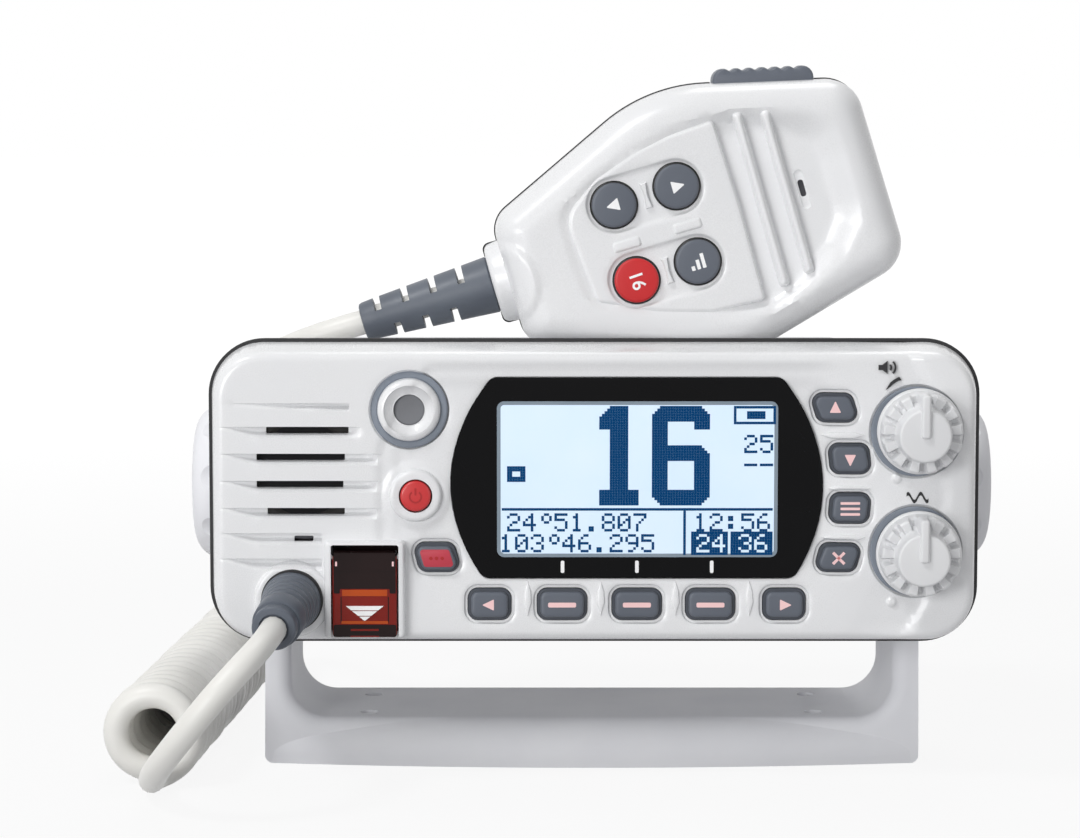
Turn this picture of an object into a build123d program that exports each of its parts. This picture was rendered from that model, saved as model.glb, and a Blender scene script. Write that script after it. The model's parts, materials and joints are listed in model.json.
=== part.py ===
from build123d import *
import os
from dataclasses import dataclass
from math import cos, radians, sin, tan

# Fixed-mount marine VHF radio on its gimbal bracket, with a fist microphone standing on the
# case and a curly cord beside it. Millimetres, +X to the right of someone facing the panel,
# +Y to the rear, +Z up. The origin is the centre of the bracket's four screw holes, on the
# surface that the bracket is screwed to. Panel features are placed from the panel's centre.

# ---- Front panel and case -----------------------------------------------------------------
PANEL_WIDTH = 181.6
PANEL_HEIGHT = 71.0
PANEL_MIDDLE = (0.15, -1.4)
PANEL_CORNER = 12.5
PANEL_EDGE = 2.6
PANEL_DRAFT = 7.6
PANEL_Z = 71.0
PANEL_FRONT = -51.5
PANEL_BACK = -39.5
WALL = 2.5
GASKET_BACK = -37.9
GASKET_PROUD = 0.8
RIM = 3.0
PAN_BACK = -32.0
CASE_WIDTH = 136.0
CASE_HEIGHT = 55.0
CASE_BACK = 62.0
CASE_TOP_Z = PANEL_Z + CASE_HEIGHT / 2
FIN_DEPTH = 4.5
FIN_PITCH = 8.0
FIN_COUNT = 15
POST = (82.0, 28.0)
POST_RADIUS = 3.0
SCREW_RADIUS = 1.5
BOARD_THICK = 1.6
BOARD_FRONT = -44.0

# ---- Bracket, clamp knobs and tilt axis ----------------------------------------------------
PIVOT_Z = 67.1
ARM_INNER = 73.7
ARM_OUTER = 79.3
ARM_FOOT = 80.2
ARM_DEPTH = 43.0
BASE_TOP = 11.0
BASE_BOW = 6.0
BASE_CORNER = 9.0
BASE_WALL = 3.0
BASE_FRONT_WALL = 5.5
BASE_ROLL = 9.0
ARM_ROLL = 3.5
BASE_RIBS = (-27.5, 0.0, 27.5)
SCREW_SPACING = (110.0, 24.0)
SCREW_HOLE = 2.25
STUD_RADIUS = 2.45
CLAMP_RADIUS = 19.2
CLAMP_INNER = 79.8
CLAMP_OUTER = 98.3
CLAMP_ROUND = 6.5
BOSS_RADIUS = 9.5
BOSS_FACE = 72.5

# ---- Panel features, measured from the panel's centre ---------------------------------------
WINDOW_SIZE = (65.7, 36.6)
WINDOW_CENTRE = (10.15, 2.65)
LENS_DEPTH = 1.5
KEY_CORNER = 2.2
KEY_PROUD = 0.9
KEY_BACK = -47.4
KEY_CLEAR = 0.35
KEY_BEZEL = 0.9
KEY_RECESS = 0.7
POWER = (-41.9, -1.2)
POWER_RADIUS = 3.7
PORT = (-43.4, 19.0)
PORT_RADIUS = 3.65
PORT_RING = 7.4
PORT_GAP = 9.1
SOCKET = (-71.0, -25.8)
SOCKET_RADIUS = 7.3
KNOB_CENTRES = {"vol": (76.3, 14.1), "sql": (76.3, -14.8)}
KNOB_RADIUS = 10.2
KNOB_TEETH = 13
KNOB_FACE = 6.2
POINTER = (1.9, 9.7)
SHAFT_RADIUS = 3.0
SPEAKER = (-68.2, 4.7)
LOUVRE_PITCH = 6.35
LOUVRE_TOP = 20.6
LOUVRE_COUNT = 7
LOUVRE_ENDS = (-87.2, -50.6)
SLOT_ENDS = {1: (-77.1, -57.9), 2: (-79.4, -58.8), 3: (-79.4, -59.1), 4: (-76.9, -58.8), 5: (-70.5, -66.1)}
FLAP_SIZE = (15.1, 20.0)
FLAP_CENTRE = (-53.85, -24.4)
FLAP_FRAME = (-63.5, -44.3, -35.2, -11.7)
FLAP_FRONT = -54.2
FLAP_AXIS_Y = -51.9
FLAP_AXIS_Z = -15.6
WELL_FLOOR = -46.5

# ---- Microphone, leaning MIC_LEAN degrees, drawn around the centre of its four keys ---------
MIC_LEAN = 16.3
MIC_X = 15.0
MIC_Y = -13.5
MIC_Z = 129.97
MIC_FRONT = -30.9
MIC_BACK = 2.0
MIC_WALL = 2.2
MIC_SEAM = 0.4
MIC_ROUND = 7.0
MIC_KEYS = {"left": (-7.6, 9.7), "right": (8.0, 9.8), "channel": (-7.4, -9.1), "level": (7.9, -8.9)}
MIC_KEY_RADIUS = 5.6
MIC_VALLEY = 2.2
MIC_RIBS = (26.5, 33.0)
MIC_SLOT = (36.8, 0.9)
MIC_POSTS = [(-22.0, 10.5), (-22.0, -12.0), (46.0, 12.6), (46.0, -17.0)]
COLLAR_V = -1.25
COLLAR_RADIUS = 9.8
COLLAR_ROUND = 1.4
COLLAR_END = -41.0
BOOT_LENGTH = 33.3
PTT_SPAN = 24.5
PTT_WIDTH = 12.0

# ---- Curly cord -----------------------------------------------------------------------------
CORD_RADIUS = 3.1
COIL_RADIUS = 12.2
COIL_FRONT = (-104.7, -53.6)
COIL_BACK = (-92.6, 120.0)
PANEL_BOOT_TIP = (-73.7, -75.0, 41.9)
FRONT_LEAD = [
    PANEL_BOOT_TIP,
    (-74.78, -84.4, 40.58),
    (-78.9, -92.4, 36.8),
    (-85.0, -95.8, 30.4),
    (-91.0, -94.8, 23.0),
    (-96.2, -90.0, 16.2),
    (-99.9, -82.4, 10.8),
    (-102.0, -73.2, 7.2),
    (-104.07, -63.4, 4.9),
    (-103.4, -53.75, 4.9),
]
RISER = [
    (-85.4, 115.5, 9.5),
    (-84.8, 113.6, 18.6),
    (-84.2, 107.6, 26.2),
    (-83.6, 98.6, 31.4),
    (-83.0, 87.6, 35.8),
    (-82.4, 76.0, 40.8),
    (-81.6, 64.8, 47.4),
    (-81.0, 54.2, 55.8),
    (-81.0, 44.4, 65.6),
    (-81.4, 35.2, 76.4),
]
MIC_LEAD = [
    RISER[-1],
    (-81.68, 28.76, 83.96),
    (-82.1, 20.8, 90.2),
    (-82.0, 12.2, 94.6),
    (-80.7, 3.6, 97.4),
    (-77.5, -4.3, 99.8),
    (-71.8, -10.2, 102.6),
]


@dataclass
class Key:
    """A panel key: centre, face size, and how far its top edge leans sideways."""

    x: float
    z: float
    width: float
    height: float
    lean: float = 0.0


KEYS = {
    "key_left": Key(-24.6, -27.0, 9.8, 7.2),
    "key_soft_1": Key(-7.5, -27.0, 11.4, 7.2),
    "key_soft_2": Key(10.1, -27.0, 11.4, 7.2),
    "key_soft_3": Key(27.4, -27.0, 11.4, 7.2),
    "key_right": Key(44.8, -27.0, 9.8, 7.2),
    "key_up": Key(56.4, 19.5, 9.6, 6.6, -1.1),
    "key_down": Key(60.0, 7.5, 9.3, 7.0, -0.4),
    "key_menu": Key(60.1, -4.2, 9.3, 7.0, 0.3),
    "key_clear": Key(57.5, -15.9, 9.6, 6.6, 1.0),
    "key_channel": Key(-37.0, -15.9, 9.6, 6.7, -1.0),
}


# ---- Helpers ---------------------------------------------------------------------------------
def face_plane(depth):
    """Plane at Y = depth that faces the viewer, centred on the panel, local y upwards."""
    return Plane(origin=(0, depth, PANEL_Z), x_dir=(1, 0, 0), z_dir=(0, -1, 0))


def mic_plane(depth):
    """Plane at Y = depth in the microphone's leaning directions, centred on its keys."""
    lean = radians(MIC_LEAN)
    return Plane(origin=(MIC_X, depth, MIC_Z), x_dir=(cos(lean), 0, sin(lean)), z_dir=(0, -1, 0))


def slab(sketch, front, back, plane=face_plane):
    """Sketch filled from depth front to depth back."""
    return extrude(plane(back) * sketch, amount=back - front, dir=(0, -1, 0))


def disc(centre, radius, front, back, plane=face_plane):
    """Round bar along Y, its centre given in the plane's own directions."""
    return slab(Pos(*centre) * Circle(radius), front, back, plane)


def x_bar(radius, start, end, y=0.0, z=PIVOT_Z):
    """Round bar along X."""
    return Pos((start + end) / 2, y, z) * Rot(0, 90, 0) * Cylinder(radius, abs(end - start))


def block(x_range, y_range, z_range):
    """Plain block from its limits along X, Y and Z."""
    size = [high - low for low, high in (x_range, y_range, z_range)]
    centre = [(low + high) / 2 for low, high in (x_range, y_range, z_range)]
    return Pos(*centre) * Box(*size)


def turned(profile):
    """Solid of revolution about Z from (radius, height) points."""
    return revolve(make_face(Polyline([(r, 0, h) for r, h in profile], close=True)), Axis.Z)


def rounded_outline(points, radii):
    """Closed outline with straight sides and one corner radius for each point."""
    return make_face(FilletPolyline(points, radius=radii, close=True))


def corner_radii(points):
    """Largest comfortable arc at each inner point of a cord's route."""
    radii = []
    for before, here, after in zip(points, points[1:], points[2:]):
        run_in = Vector(here) - Vector(before)
        run_out = Vector(after) - Vector(here)
        half_turn = radians(run_in.get_angle(run_out)) / 2
        radii.append(0.45 * min(run_in.length, run_out.length) / tan(half_turn))
    return radii


def cord_tube(name, points):
    """Straight runs joined by tangent arcs, filled to the cord's diameter."""
    radii = corner_radii(points)
    path = FilletPolyline(points, radius=radii)
    tube = sweep(Plane(origin=path @ 0, z_dir=path % 0) * Circle(CORD_RADIUS), path=path)
    print(name, "length", round(path.length, 1), "radii", [round(radius, 1) for radius in radii])
    return tube


# ---- Bracket and clamp knobs -----------------------------------------------------------------
def bracket_profile():
    """Front view of the U: flared arms on a base with rounded inner corners."""
    top = PIVOT_Z + ARM_DEPTH / 2
    outside = make_face(
        Polyline([(-ARM_FOOT, 0), (ARM_FOOT, 0), (ARM_OUTER, top), (-ARM_OUTER, top)], close=True)
    )
    outside = fillet(outside.vertices().sort_by(Axis.Y)[:2], 2.0)
    inner_height = top - BASE_TOP + BASE_CORNER * 2
    inside = Pos(0, BASE_TOP + inner_height / 2) * RectangleRounded(2 * ARM_INNER, inner_height, BASE_CORNER)
    return outside - inside


def base_outline(half_width, inset):
    """Plan of the base, whose front edge bows forward between the arms."""
    half_depth = ARM_DEPTH / 2 - inset
    edges = Polyline([(-half_width, -half_depth), (-half_width, half_depth), (half_width, half_depth),
                      (half_width, -half_depth)])
    bow = ThreePointArc((half_width, -half_depth), (0, -half_depth - BASE_BOW), (-half_width, -half_depth))
    return make_face(edges + bow)


def bracket():
    """U bracket: round-topped arms, bowed hollow base and four screw bosses."""
    arms = extrude(Plane.XZ * bracket_profile(), amount=ARM_DEPTH / 2, both=True)
    front = arms.faces().sort_by(Axis.Y)[0]
    low_inside = [edge for edge in front.edges() if edge.center().Z > 1 and abs(edge.center().X) < ARM_INNER + 1]
    arms = fillet(low_inside, ARM_ROLL)
    side_view = Circle(ARM_DEPTH / 2) + Pos(0, -PIVOT_Z / 2) * Rectangle(ARM_DEPTH, PIVOT_Z)
    arms &= extrude(Plane((0, 0, PIVOT_Z), x_dir=(0, 1, 0), z_dir=(1, 0, 0)) * side_view, 90, both=True)
    base = extrude(base_outline(ARM_FOOT - 2.0, 0), BASE_TOP)
    bow_edge = base.edges().filter_by(GeomType.CIRCLE).sort_by(Axis.Z)[-1]
    base = fillet(bow_edge, BASE_ROLL)
    body = arms + base
    body -= extrude(base_outline(ARM_FOOT - 6.0, BASE_FRONT_WALL), BASE_TOP - BASE_WALL)
    ribs = [block((x - 1.25, x + 1.25), (-22.5, 20.0), (0, BASE_TOP - 2.5)) for x in BASE_RIBS]
    spread = GridLocations(*SCREW_SPACING, 2, 2)
    bosses = [place * Pos(0, 0, BASE_TOP / 2) * Cylinder(5.5, BASE_TOP) for place in spread]
    holes = [place * Cylinder(SCREW_HOLE, 4 * BASE_TOP) for place in spread]
    return body + ribs + bosses - holes - x_bar(3.0, -90, 90)


def gimbal_knob():
    """Right clamp knob: scalloped grip on a hub, bored for its stud."""
    grip = x_bar(CLAMP_RADIUS, CLAMP_INNER + 3.0, CLAMP_OUTER)
    grip = fillet(grip.faces().sort_by(Axis.X)[-1].edges(), CLAMP_ROUND)
    scallops = Plane((90, 0, PIVOT_Z), z_dir=(1, 0, 0)) * PolarLocations(CLAMP_RADIUS + 3.9, 9)
    grip -= [place * Cylinder(5.2, 30) for place in scallops]
    dish = x_bar(9.0, CLAMP_OUTER - 1.8, CLAMP_OUTER + 1)
    return grip + x_bar(12.0, CLAMP_INNER, CLAMP_INNER + 4.0) - dish - x_bar(STUD_RADIUS + 0.05, 78, 94.0)


def gimbal_stud():
    """Right clamp screw, from inside the knob to the case's insert."""
    return x_bar(STUD_RADIUS, 62.5, 93.8)


# ---- Case --------------------------------------------------------------------------------------
REAR_PORTS = {"antenna": (44.0, -12.0), "power": (-44.0, -12.0), "data": (-20.0, -12.0)}
ANTENNA_RADIUS = 7.94
GLAND_NECK = 5.5


def chassis():
    """Die-cast case: wide pan behind the panel, finned box, pivot bosses and board posts."""
    pan = slab(panel_outline(), GASKET_BACK, PAN_BACK)
    box = slab(RectangleRounded(CASE_WIDTH, CASE_HEIGHT, 4.0), PAN_BACK, CASE_BACK)
    body = pan + box + [x_bar(BOSS_RADIUS, side * 60, side * BOSS_FACE) for side in (-1, 1)]
    body -= slab(panel_outline(-RIM), GASKET_BACK, PAN_BACK - WALL)
    body -= slab(RectangleRounded(CASE_WIDTH - 2 * WALL, CASE_HEIGHT - 2 * WALL, 2.0),
                 GASKET_BACK, CASE_BACK - WALL)
    body += [x_bar(6.5, side * 58, side * 66) for side in (-1, 1)]
    body -= [x_bar(3.8, side * 61.5, side * 75) for side in (-1, 1)]
    floor_z = PANEL_Z - CASE_HEIGHT / 2 + 1
    body += [Pos(x, y, (floor_z + 57.5) / 2) * Cylinder(3.0, 57.5 - floor_z)
             for x in (-46, 46) for y in (-14, 46)]
    for step in range(FIN_COUNT):
        x = (step - (FIN_COUNT - 1) / 2) * FIN_PITCH
        beside_port = any(abs(x - port[0]) < 13 for port in REAR_PORTS.values())
        foot = PANEL_Z + 3.0 if beside_port else 46.0
        fin = block((x - 1, x + 1), (CASE_BACK - 1, CASE_BACK + FIN_DEPTH), (foot, 96.0))
        body += fillet(fin.edges().filter_by(Axis.X).group_by(Axis.Y)[-1], 2.5)
    body -= disc(REAR_PORTS["antenna"], 7.0, CASE_BACK - 6, CASE_BACK + 6)
    body -= [disc(REAR_PORTS[name], GLAND_NECK + 0.1, CASE_BACK - 6, CASE_BACK + 6) for name in ("power", "data")]
    body += [disc(centre, POST_RADIUS, GASKET_BACK, PAN_BACK - 1) for centre in post_centres()]
    return body - [disc(centre, SCREW_RADIUS + 0.2, GASKET_BACK - 1, PAN_BACK + 1) for centre in post_centres()]


def panel_outline(grow=0.0):
    """Rear edge of the panel, grown all round, which the gasket and the pan share."""
    shape = RectangleRounded(PANEL_WIDTH + 2 * grow, PANEL_HEIGHT + 2 * grow, PANEL_CORNER + grow)
    return Pos(*PANEL_MIDDLE) * shape


def post_centres():
    """The four fixing points near the panel's corners."""
    return [(side * POST[0], level * POST[1]) for side in (-1, 1) for level in (-1, 1)]


def chassis_screws():
    """Four pan-head screws that pull the panel onto the case."""
    screws = []
    for centre in post_centres():
        head = fillet(disc(centre, 2.8, PAN_BACK, PAN_BACK + 1.8).edges().sort_by(Axis.Y)[-1], 0.8)
        screws.append(head + disc(centre, SCREW_RADIUS, PAN_BACK - 12, PAN_BACK + 0.5))
    return screws


def thread_inserts():
    """Two brass inserts in the case's pivot bosses."""
    return [x_bar(3.75, side * 61.6, side * BOSS_FACE) - x_bar(STUD_RADIUS + 0.05, side * 60, side * 74)
            for side in (-1, 1)]


def friction_washers():
    """Two rubber washers between the case's bosses and the arms."""
    return [x_bar(10.4, side * BOSS_FACE, side * (ARM_INNER - 0.1)) - x_bar(3.2, side * 70, side * 76)
            for side in (-1, 1)]


def antenna_socket():
    """Coaxial socket: flange, barrel with an open mouth and a centre contact."""
    barrel = turned([(0, -6), (6.9, -6), (6.9, 0), (10.5, 0), (10.5, 2.2), (ANTENNA_RADIUS, 2.2),
                     (ANTENNA_RADIUS, 16), (6.2, 16), (6.2, 7), (2.2, 7), (2.2, 14.5), (1.3, 14.5),
                     (1.3, 8), (0, 8)])
    x, z = REAR_PORTS["antenna"]
    return Plane(origin=(x, CASE_BACK, PANEL_Z + z), z_dir=(0, 1, 0)) * barrel


def rear_glands():
    """Rubber glands for the power and data leads."""
    gland = turned([(2.6, -5), (GLAND_NECK, -5), (GLAND_NECK, 0), (7.4, 0), (7.4, 2.5), (5.4, 3.5),
                    (4.2, 15), (2.6, 15)])
    places = [REAR_PORTS["power"], REAR_PORTS["data"]]
    return [Plane(origin=(x, CASE_BACK, PANEL_Z + z), z_dir=(0, 1, 0)) * gland for x, z in places]


def main_board():
    """Main circuit board on its four posts."""
    return block((-53, 53), (-22, 54), (57.5, 57.5 + BOARD_THICK))


def shield_can():
    """Tin screening box over the radio-frequency part of the main board."""
    base = 57.5 + BOARD_THICK
    can = block((8, 50), (-6, 50), (base, base + 14))
    return fillet(can.edges().filter_by(Axis.Z), 2.0) - block((8.6, 49.4), (-5.4, 49.4), (base - 1, base + 13.4))


# ---- Front panel ---------------------------------------------------------------------------------
def lens_outline():
    """Display lens: straight top and bottom, bulging sides, small corner rounds."""
    sides = ThreePointArc((44.0, 26.7), (53.7, 2.0), (47.0, -20.9))
    sides += ThreePointArc((-26.0, -20.9), (-33.7, 2.0), (-24.0, 26.7))
    outline = make_face(Line((-24.0, 26.7), (44.0, 26.7)) + Line((47.0, -20.9), (-26.0, -20.9)) + sides)
    return fillet(outline.vertices(), 3.0)


def key_outline(key, grow=0.0):
    """Face of a key, with its top edge leaning, grown all round."""
    half_w = key.width / 2 + grow
    half_h = key.height / 2 + grow
    corners = [(key.x - half_w + key.lean, key.z + half_h), (key.x + half_w + key.lean, key.z + half_h),
               (key.x + half_w - key.lean, key.z - half_h), (key.x - half_w - key.lean, key.z - half_h)]
    return rounded_outline(corners, [KEY_CORNER + grow] * len(corners))


def front_gasket():
    """Black sealing frame, slightly larger than the panel."""
    return slab(panel_outline(GASKET_PROUD) - panel_outline(-RIM), PANEL_BACK, GASKET_BACK)


def panel_shell():
    """Panel blank: drafted, rounded tray with fixing posts behind its corners."""
    blank = extrude(face_plane(PANEL_BACK) * panel_outline(), PANEL_BACK - PANEL_FRONT, taper=PANEL_DRAFT)
    blank = fillet(blank.faces().sort_by(Axis.Y)[0].edges(), PANEL_EDGE)
    blank -= slab(panel_outline(-WALL - 0.9), PANEL_FRONT + WALL, PANEL_BACK)
    blank += [disc(centre, POST_RADIUS, PANEL_FRONT + 1, PANEL_BACK) for centre in post_centres()]
    return blank - [disc(centre, SCREW_RADIUS + 0.05, PANEL_BACK - 6, PANEL_BACK) for centre in post_centres()]


def louvres():
    """Shallow speaker grooves and the open slots in them, to be cut from the panel."""
    left, right = LOUVRE_ENDS
    cuts = []
    for row in range(LOUVRE_COUNT):
        z = LOUVRE_TOP - row * LOUVRE_PITCH
        end = -53.8 if row < 2 else right
        groove = rounded_outline([(left, z), (left + 8, z + 1.4), (end, z + 1.4), (end, z - 1.4),
                                  (left + 8, z - 1.4)], [0, 4, 1.2, 1.2, 4])
        if row == LOUVRE_COUNT - 1:
            groove &= Pos(-76.5, z) * Rectangle(26, 6)
        cuts.append(slab(groove, PANEL_FRONT - 1, PANEL_FRONT + 1.2))
        if row in SLOT_ENDS:
            start, stop = SLOT_ENDS[row]
            slot = Pos((start + stop) / 2, z) * RectangleRounded(stop - start, 1.5, 0.5)
            cuts.append(slab(slot, PANEL_FRONT - 1, PANEL_FRONT + WALL + 1))
    return cuts


def raised_parts():
    """What stands proud of the panel: port, power and cord collars, and the flap's frame."""
    port = fillet(disc(PORT, PORT_RING, PANEL_FRONT - 2.2, PANEL_FRONT + 1.5).edges().sort_by(Axis.Y)[0], 1.8)
    power = fillet(disc(POWER, 6.2, PANEL_FRONT - 1.5, PANEL_FRONT + 1).edges().sort_by(Axis.Y)[0], 1.2)
    collar = fillet(disc(SOCKET, 8.6, PANEL_FRONT - 1.4, PANEL_FRONT + 1).edges().sort_by(Axis.Y)[0], 0.8)
    left, right, low, high = FLAP_FRAME
    frame = block((left, right), (FLAP_FRONT + 0.2, WELL_FLOOR + 2), (PANEL_Z + low, PANEL_Z + high))
    frame = fillet(frame.edges().filter_by(Axis.Z).group_by(Axis.Y)[0], 0.8)
    return [port, power, collar, frame]


def flap_pocket():
    """Room for the flap, its barrel and the button under it."""
    left, right = FLAP_FRAME[0] + 1.7, FLAP_FRAME[1] - 1.6
    pocket = block((left, right), (FLAP_FRONT - 1, WELL_FLOOR), (PANEL_Z - 34.0, PANEL_Z - 12.6))
    mouth = block((left, right), (FLAP_FRONT - 1, PANEL_FRONT - 1), (PANEL_Z - 36.0, PANEL_Z - 33.0))
    return pocket + mouth


def front_panel():
    """Moulded front: tray, raised collars, and every opening in it."""
    groove = disc(PORT, PORT_GAP, PANEL_FRONT - 1, PANEL_FRONT + 1.1)
    body = panel_shell() - louvres() - groove + raised_parts()
    body -= slab(lens_outline(), PANEL_FRONT - 1, PANEL_FRONT + LENS_DEPTH)
    window = Pos(*WINDOW_CENTRE) * RectangleRounded(*WINDOW_SIZE, 2.0)
    body -= slab(window, PANEL_FRONT - 1, PANEL_FRONT + WALL + 1)
    for key in KEYS.values():
        body -= slab(key_outline(key, KEY_BEZEL), PANEL_FRONT - 1, PANEL_FRONT + KEY_RECESS)
        body -= slab(key_outline(key, KEY_CLEAR), PANEL_FRONT - 1, PANEL_FRONT + WALL + 1)
    for centre in KNOB_CENTRES.values():
        body -= disc(centre, KNOB_RADIUS + 0.9, PANEL_FRONT - 1, PANEL_FRONT + 0.8)
        body -= disc(centre, 4.8, PANEL_FRONT - 1, PANEL_FRONT + WALL + 1)
    funnel = turned([(0, -1.2), (4.2, -1.2), (5.9, 3), (0, 3)])
    body -= Plane(origin=(PORT[0], PANEL_FRONT, PANEL_Z + PORT[1]), z_dir=(0, -1, 0)) * funnel
    body -= disc(PORT, PORT_RADIUS + 0.05, PANEL_FRONT - 2, PANEL_FRONT + 4)
    body -= disc(POWER, POWER_RADIUS + 0.25, PANEL_FRONT - 2, PANEL_FRONT + 4)
    body -= disc(SOCKET, SOCKET_RADIUS, PANEL_FRONT - 2, PANEL_FRONT + 4)
    body -= flap_pocket()
    body -= disc((FLAP_CENTRE[0], FLAP_CENTRE[1] - 2), 4.5, WELL_FLOOR - 1, WELL_FLOOR + 3)
    return body - x_bar(0.85, -63.0, -44.8, FLAP_AXIS_Y, PANEL_Z + FLAP_AXIS_Z)


def display_window():
    """Gloss lens that lies in the panel's pocket."""
    return slab(offset(lens_outline(), -0.15), PANEL_FRONT + 0.1, PANEL_FRONT + LENS_DEPTH)


def lcd_module():
    """Display module between the window and the front board."""
    return slab(Pos(*WINDOW_CENTRE) * Rectangle(72.0, 41.0), PANEL_FRONT + WALL + 0.1, BOARD_FRONT - 0.1)


def panel_key(key):
    """One key cap with a rounded front edge."""
    cap = slab(key_outline(key), PANEL_FRONT - KEY_PROUD, KEY_BACK)
    return fillet(cap.faces().sort_by(Axis.Y)[0].edges(), 0.7)


def power_key():
    """Round power key inside its collar."""
    cap = disc(POWER, POWER_RADIUS, PANEL_FRONT - 1.3, KEY_BACK)
    return fillet(cap.edges().sort_by(Axis.Y)[0], 0.7)


def keypad_mat():
    """Silicone mat behind the keys, with a clear strip beside the knobs' bodies."""
    row = Pos(11.75, -27.0) * Rectangle(111.5, 9.0)
    column = Pos(58.4, -3.75) * Rectangle(16.8, 55.5)
    left = Pos(-37.0, -20.0) * Rectangle(13.0, 23.0) + Pos(-41.0, -4.0) * Rectangle(13.0, 14.0)
    return slab(row + column + left, KEY_BACK + 1.2, BOARD_FRONT - 0.9)


def front_board():
    """Board behind the keypad and display, cleared round the fixing posts."""
    board = Pos(21.25, PANEL_MIDDLE[1]) * RectangleRounded(129.5, 60.4, 9.0)
    body = slab(board, BOARD_FRONT, BOARD_FRONT + BOARD_THICK)
    body -= [disc(centre, POST_RADIUS + 0.6, BOARD_FRONT - 1, BOARD_FRONT + 3) for centre in post_centres()]
    return body


def port_plug():
    """Grey plug in the round port."""
    return fillet(disc(PORT, PORT_RADIUS, PANEL_FRONT + 0.6, PANEL_FRONT + 6).edges().sort_by(Axis.Y)[0], 0.4)


def rotary_pots():
    """Two volume and squelch controls, bored for their shafts."""
    pots = []
    for x, z in KNOB_CENTRES.values():
        body = slab(Pos(x, z) * Rectangle(12, 12.5), PANEL_FRONT + WALL + 0.1, BOARD_FRONT - 0.05)
        body += disc((x, z), 4.6, PANEL_FRONT - 0.2, PANEL_FRONT + WALL + 1)
        pots.append(body - disc((x, z), SHAFT_RADIUS + 0.06, PANEL_FRONT - 1, BOARD_FRONT - 1.5))
    return pots


def knob_shaft(centre):
    """Control shaft from inside its control to inside the knob."""
    return disc(centre, SHAFT_RADIUS, -63.0, BOARD_FRONT - 1.7)


def rotary_knob(centre):
    """Knob with a castellated skirt, a round face and a pointer at twelve o'clock."""
    x, z = centre
    skirt = fillet(disc(centre, KNOB_RADIUS, -59.6, PANEL_FRONT - 0.4).edges().sort_by(Axis.Y)[0], 0.6)
    notches = face_plane(0) * Pos(x, z) * PolarLocations(KNOB_RADIUS, KNOB_TEETH, start_angle=14)
    skirt -= [place * Pos(0, 0, 60) * Box(4.2, 2.6, 6.4) for place in notches]
    face = fillet(disc(centre, KNOB_FACE, -65.0, -59.0).edges().sort_by(Axis.Y)[0], 0.8)
    width, reach = POINTER
    pointer = block((x - width / 2, x + width / 2), (-66.0, -59.0), (PANEL_Z + z - 0.4, PANEL_Z + z + reach))
    pointer = fillet(pointer.edges().filter_by(Axis.Y), 0.6)
    return skirt + face + pointer - disc(centre, SHAFT_RADIUS + 0.03, -63.1, -50)


def speaker():
    """Speaker frame and magnet behind the louvres."""
    frame = turned([(16.4, 12.9), (16.4, 11.2), (9.5, 6.0), (9.5, 0), (0, 0), (0, 5.2), (4.6, 5.2),
                    (12.6, 11.2), (14.2, 11.2), (14.2, 12.9)])
    return Plane(origin=(SPEAKER[0], -36.0, PANEL_Z + SPEAKER[1]), z_dir=(0, -1, 0)) * frame


def speaker_cone():
    """Paper cone with its dust cap, just inside the frame."""
    cone = turned([(0, 5.8), (4.2, 5.8), (12.2, 11.8), (13.9, 11.8), (13.9, 12.3), (11.9, 12.3),
                   (4.6, 7.2), (3.0, 8.4), (0, 8.9)])
    return Plane(origin=(SPEAKER[0], -36.0, PANEL_Z + SPEAKER[1]), z_dir=(0, -1, 0)) * cone


def distress_cover():
    """Clear flap: plate, two side skirts and the hinge barrel along its top."""
    x, z = FLAP_CENTRE
    half = FLAP_SIZE[0] / 2
    plate = block((x - half, x + half), (FLAP_FRONT, FLAP_FRONT + 1.5),
                  (PANEL_Z + z - FLAP_SIZE[1] / 2, PANEL_Z + z + FLAP_SIZE[1] / 2))
    plate = fillet(plate.edges().filter_by(Axis.Y), 0.8)
    skirts = [block((x + side * (half - 0.6) - 0.6, x + side * (half - 0.6) + 0.6),
                    (FLAP_FRONT + 1.0, -49.8), (PANEL_Z - 33.4, PANEL_Z - 16.6)) for side in (-1, 1)]
    barrel = x_bar(1.6, x - half + 0.1, x + half - 0.1, FLAP_AXIS_Y, PANEL_Z + FLAP_AXIS_Z)
    return plate + skirts + barrel - x_bar(0.87, -64, -44, FLAP_AXIS_Y, PANEL_Z + FLAP_AXIS_Z)


def distress_hinge_pin():
    """Steel pin of the flap."""
    return x_bar(0.8, -62.9, -44.9, FLAP_AXIS_Y, PANEL_Z + FLAP_AXIS_Z)


def distress_button():
    """Guarded push button under the flap."""
    centre = (FLAP_CENTRE[0], FLAP_CENTRE[1] - 2)
    return fillet(disc(centre, 4.2, -50.2, -43.6).edges().sort_by(Axis.Y)[0], 0.6)


def boot_seal():
    """Black ring between the panel's collar and the cord boot."""
    return disc(SOCKET, SOCKET_RADIUS - 0.02, -53.4, -49.2) - disc(SOCKET, 6.7, -54, -49)


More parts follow.
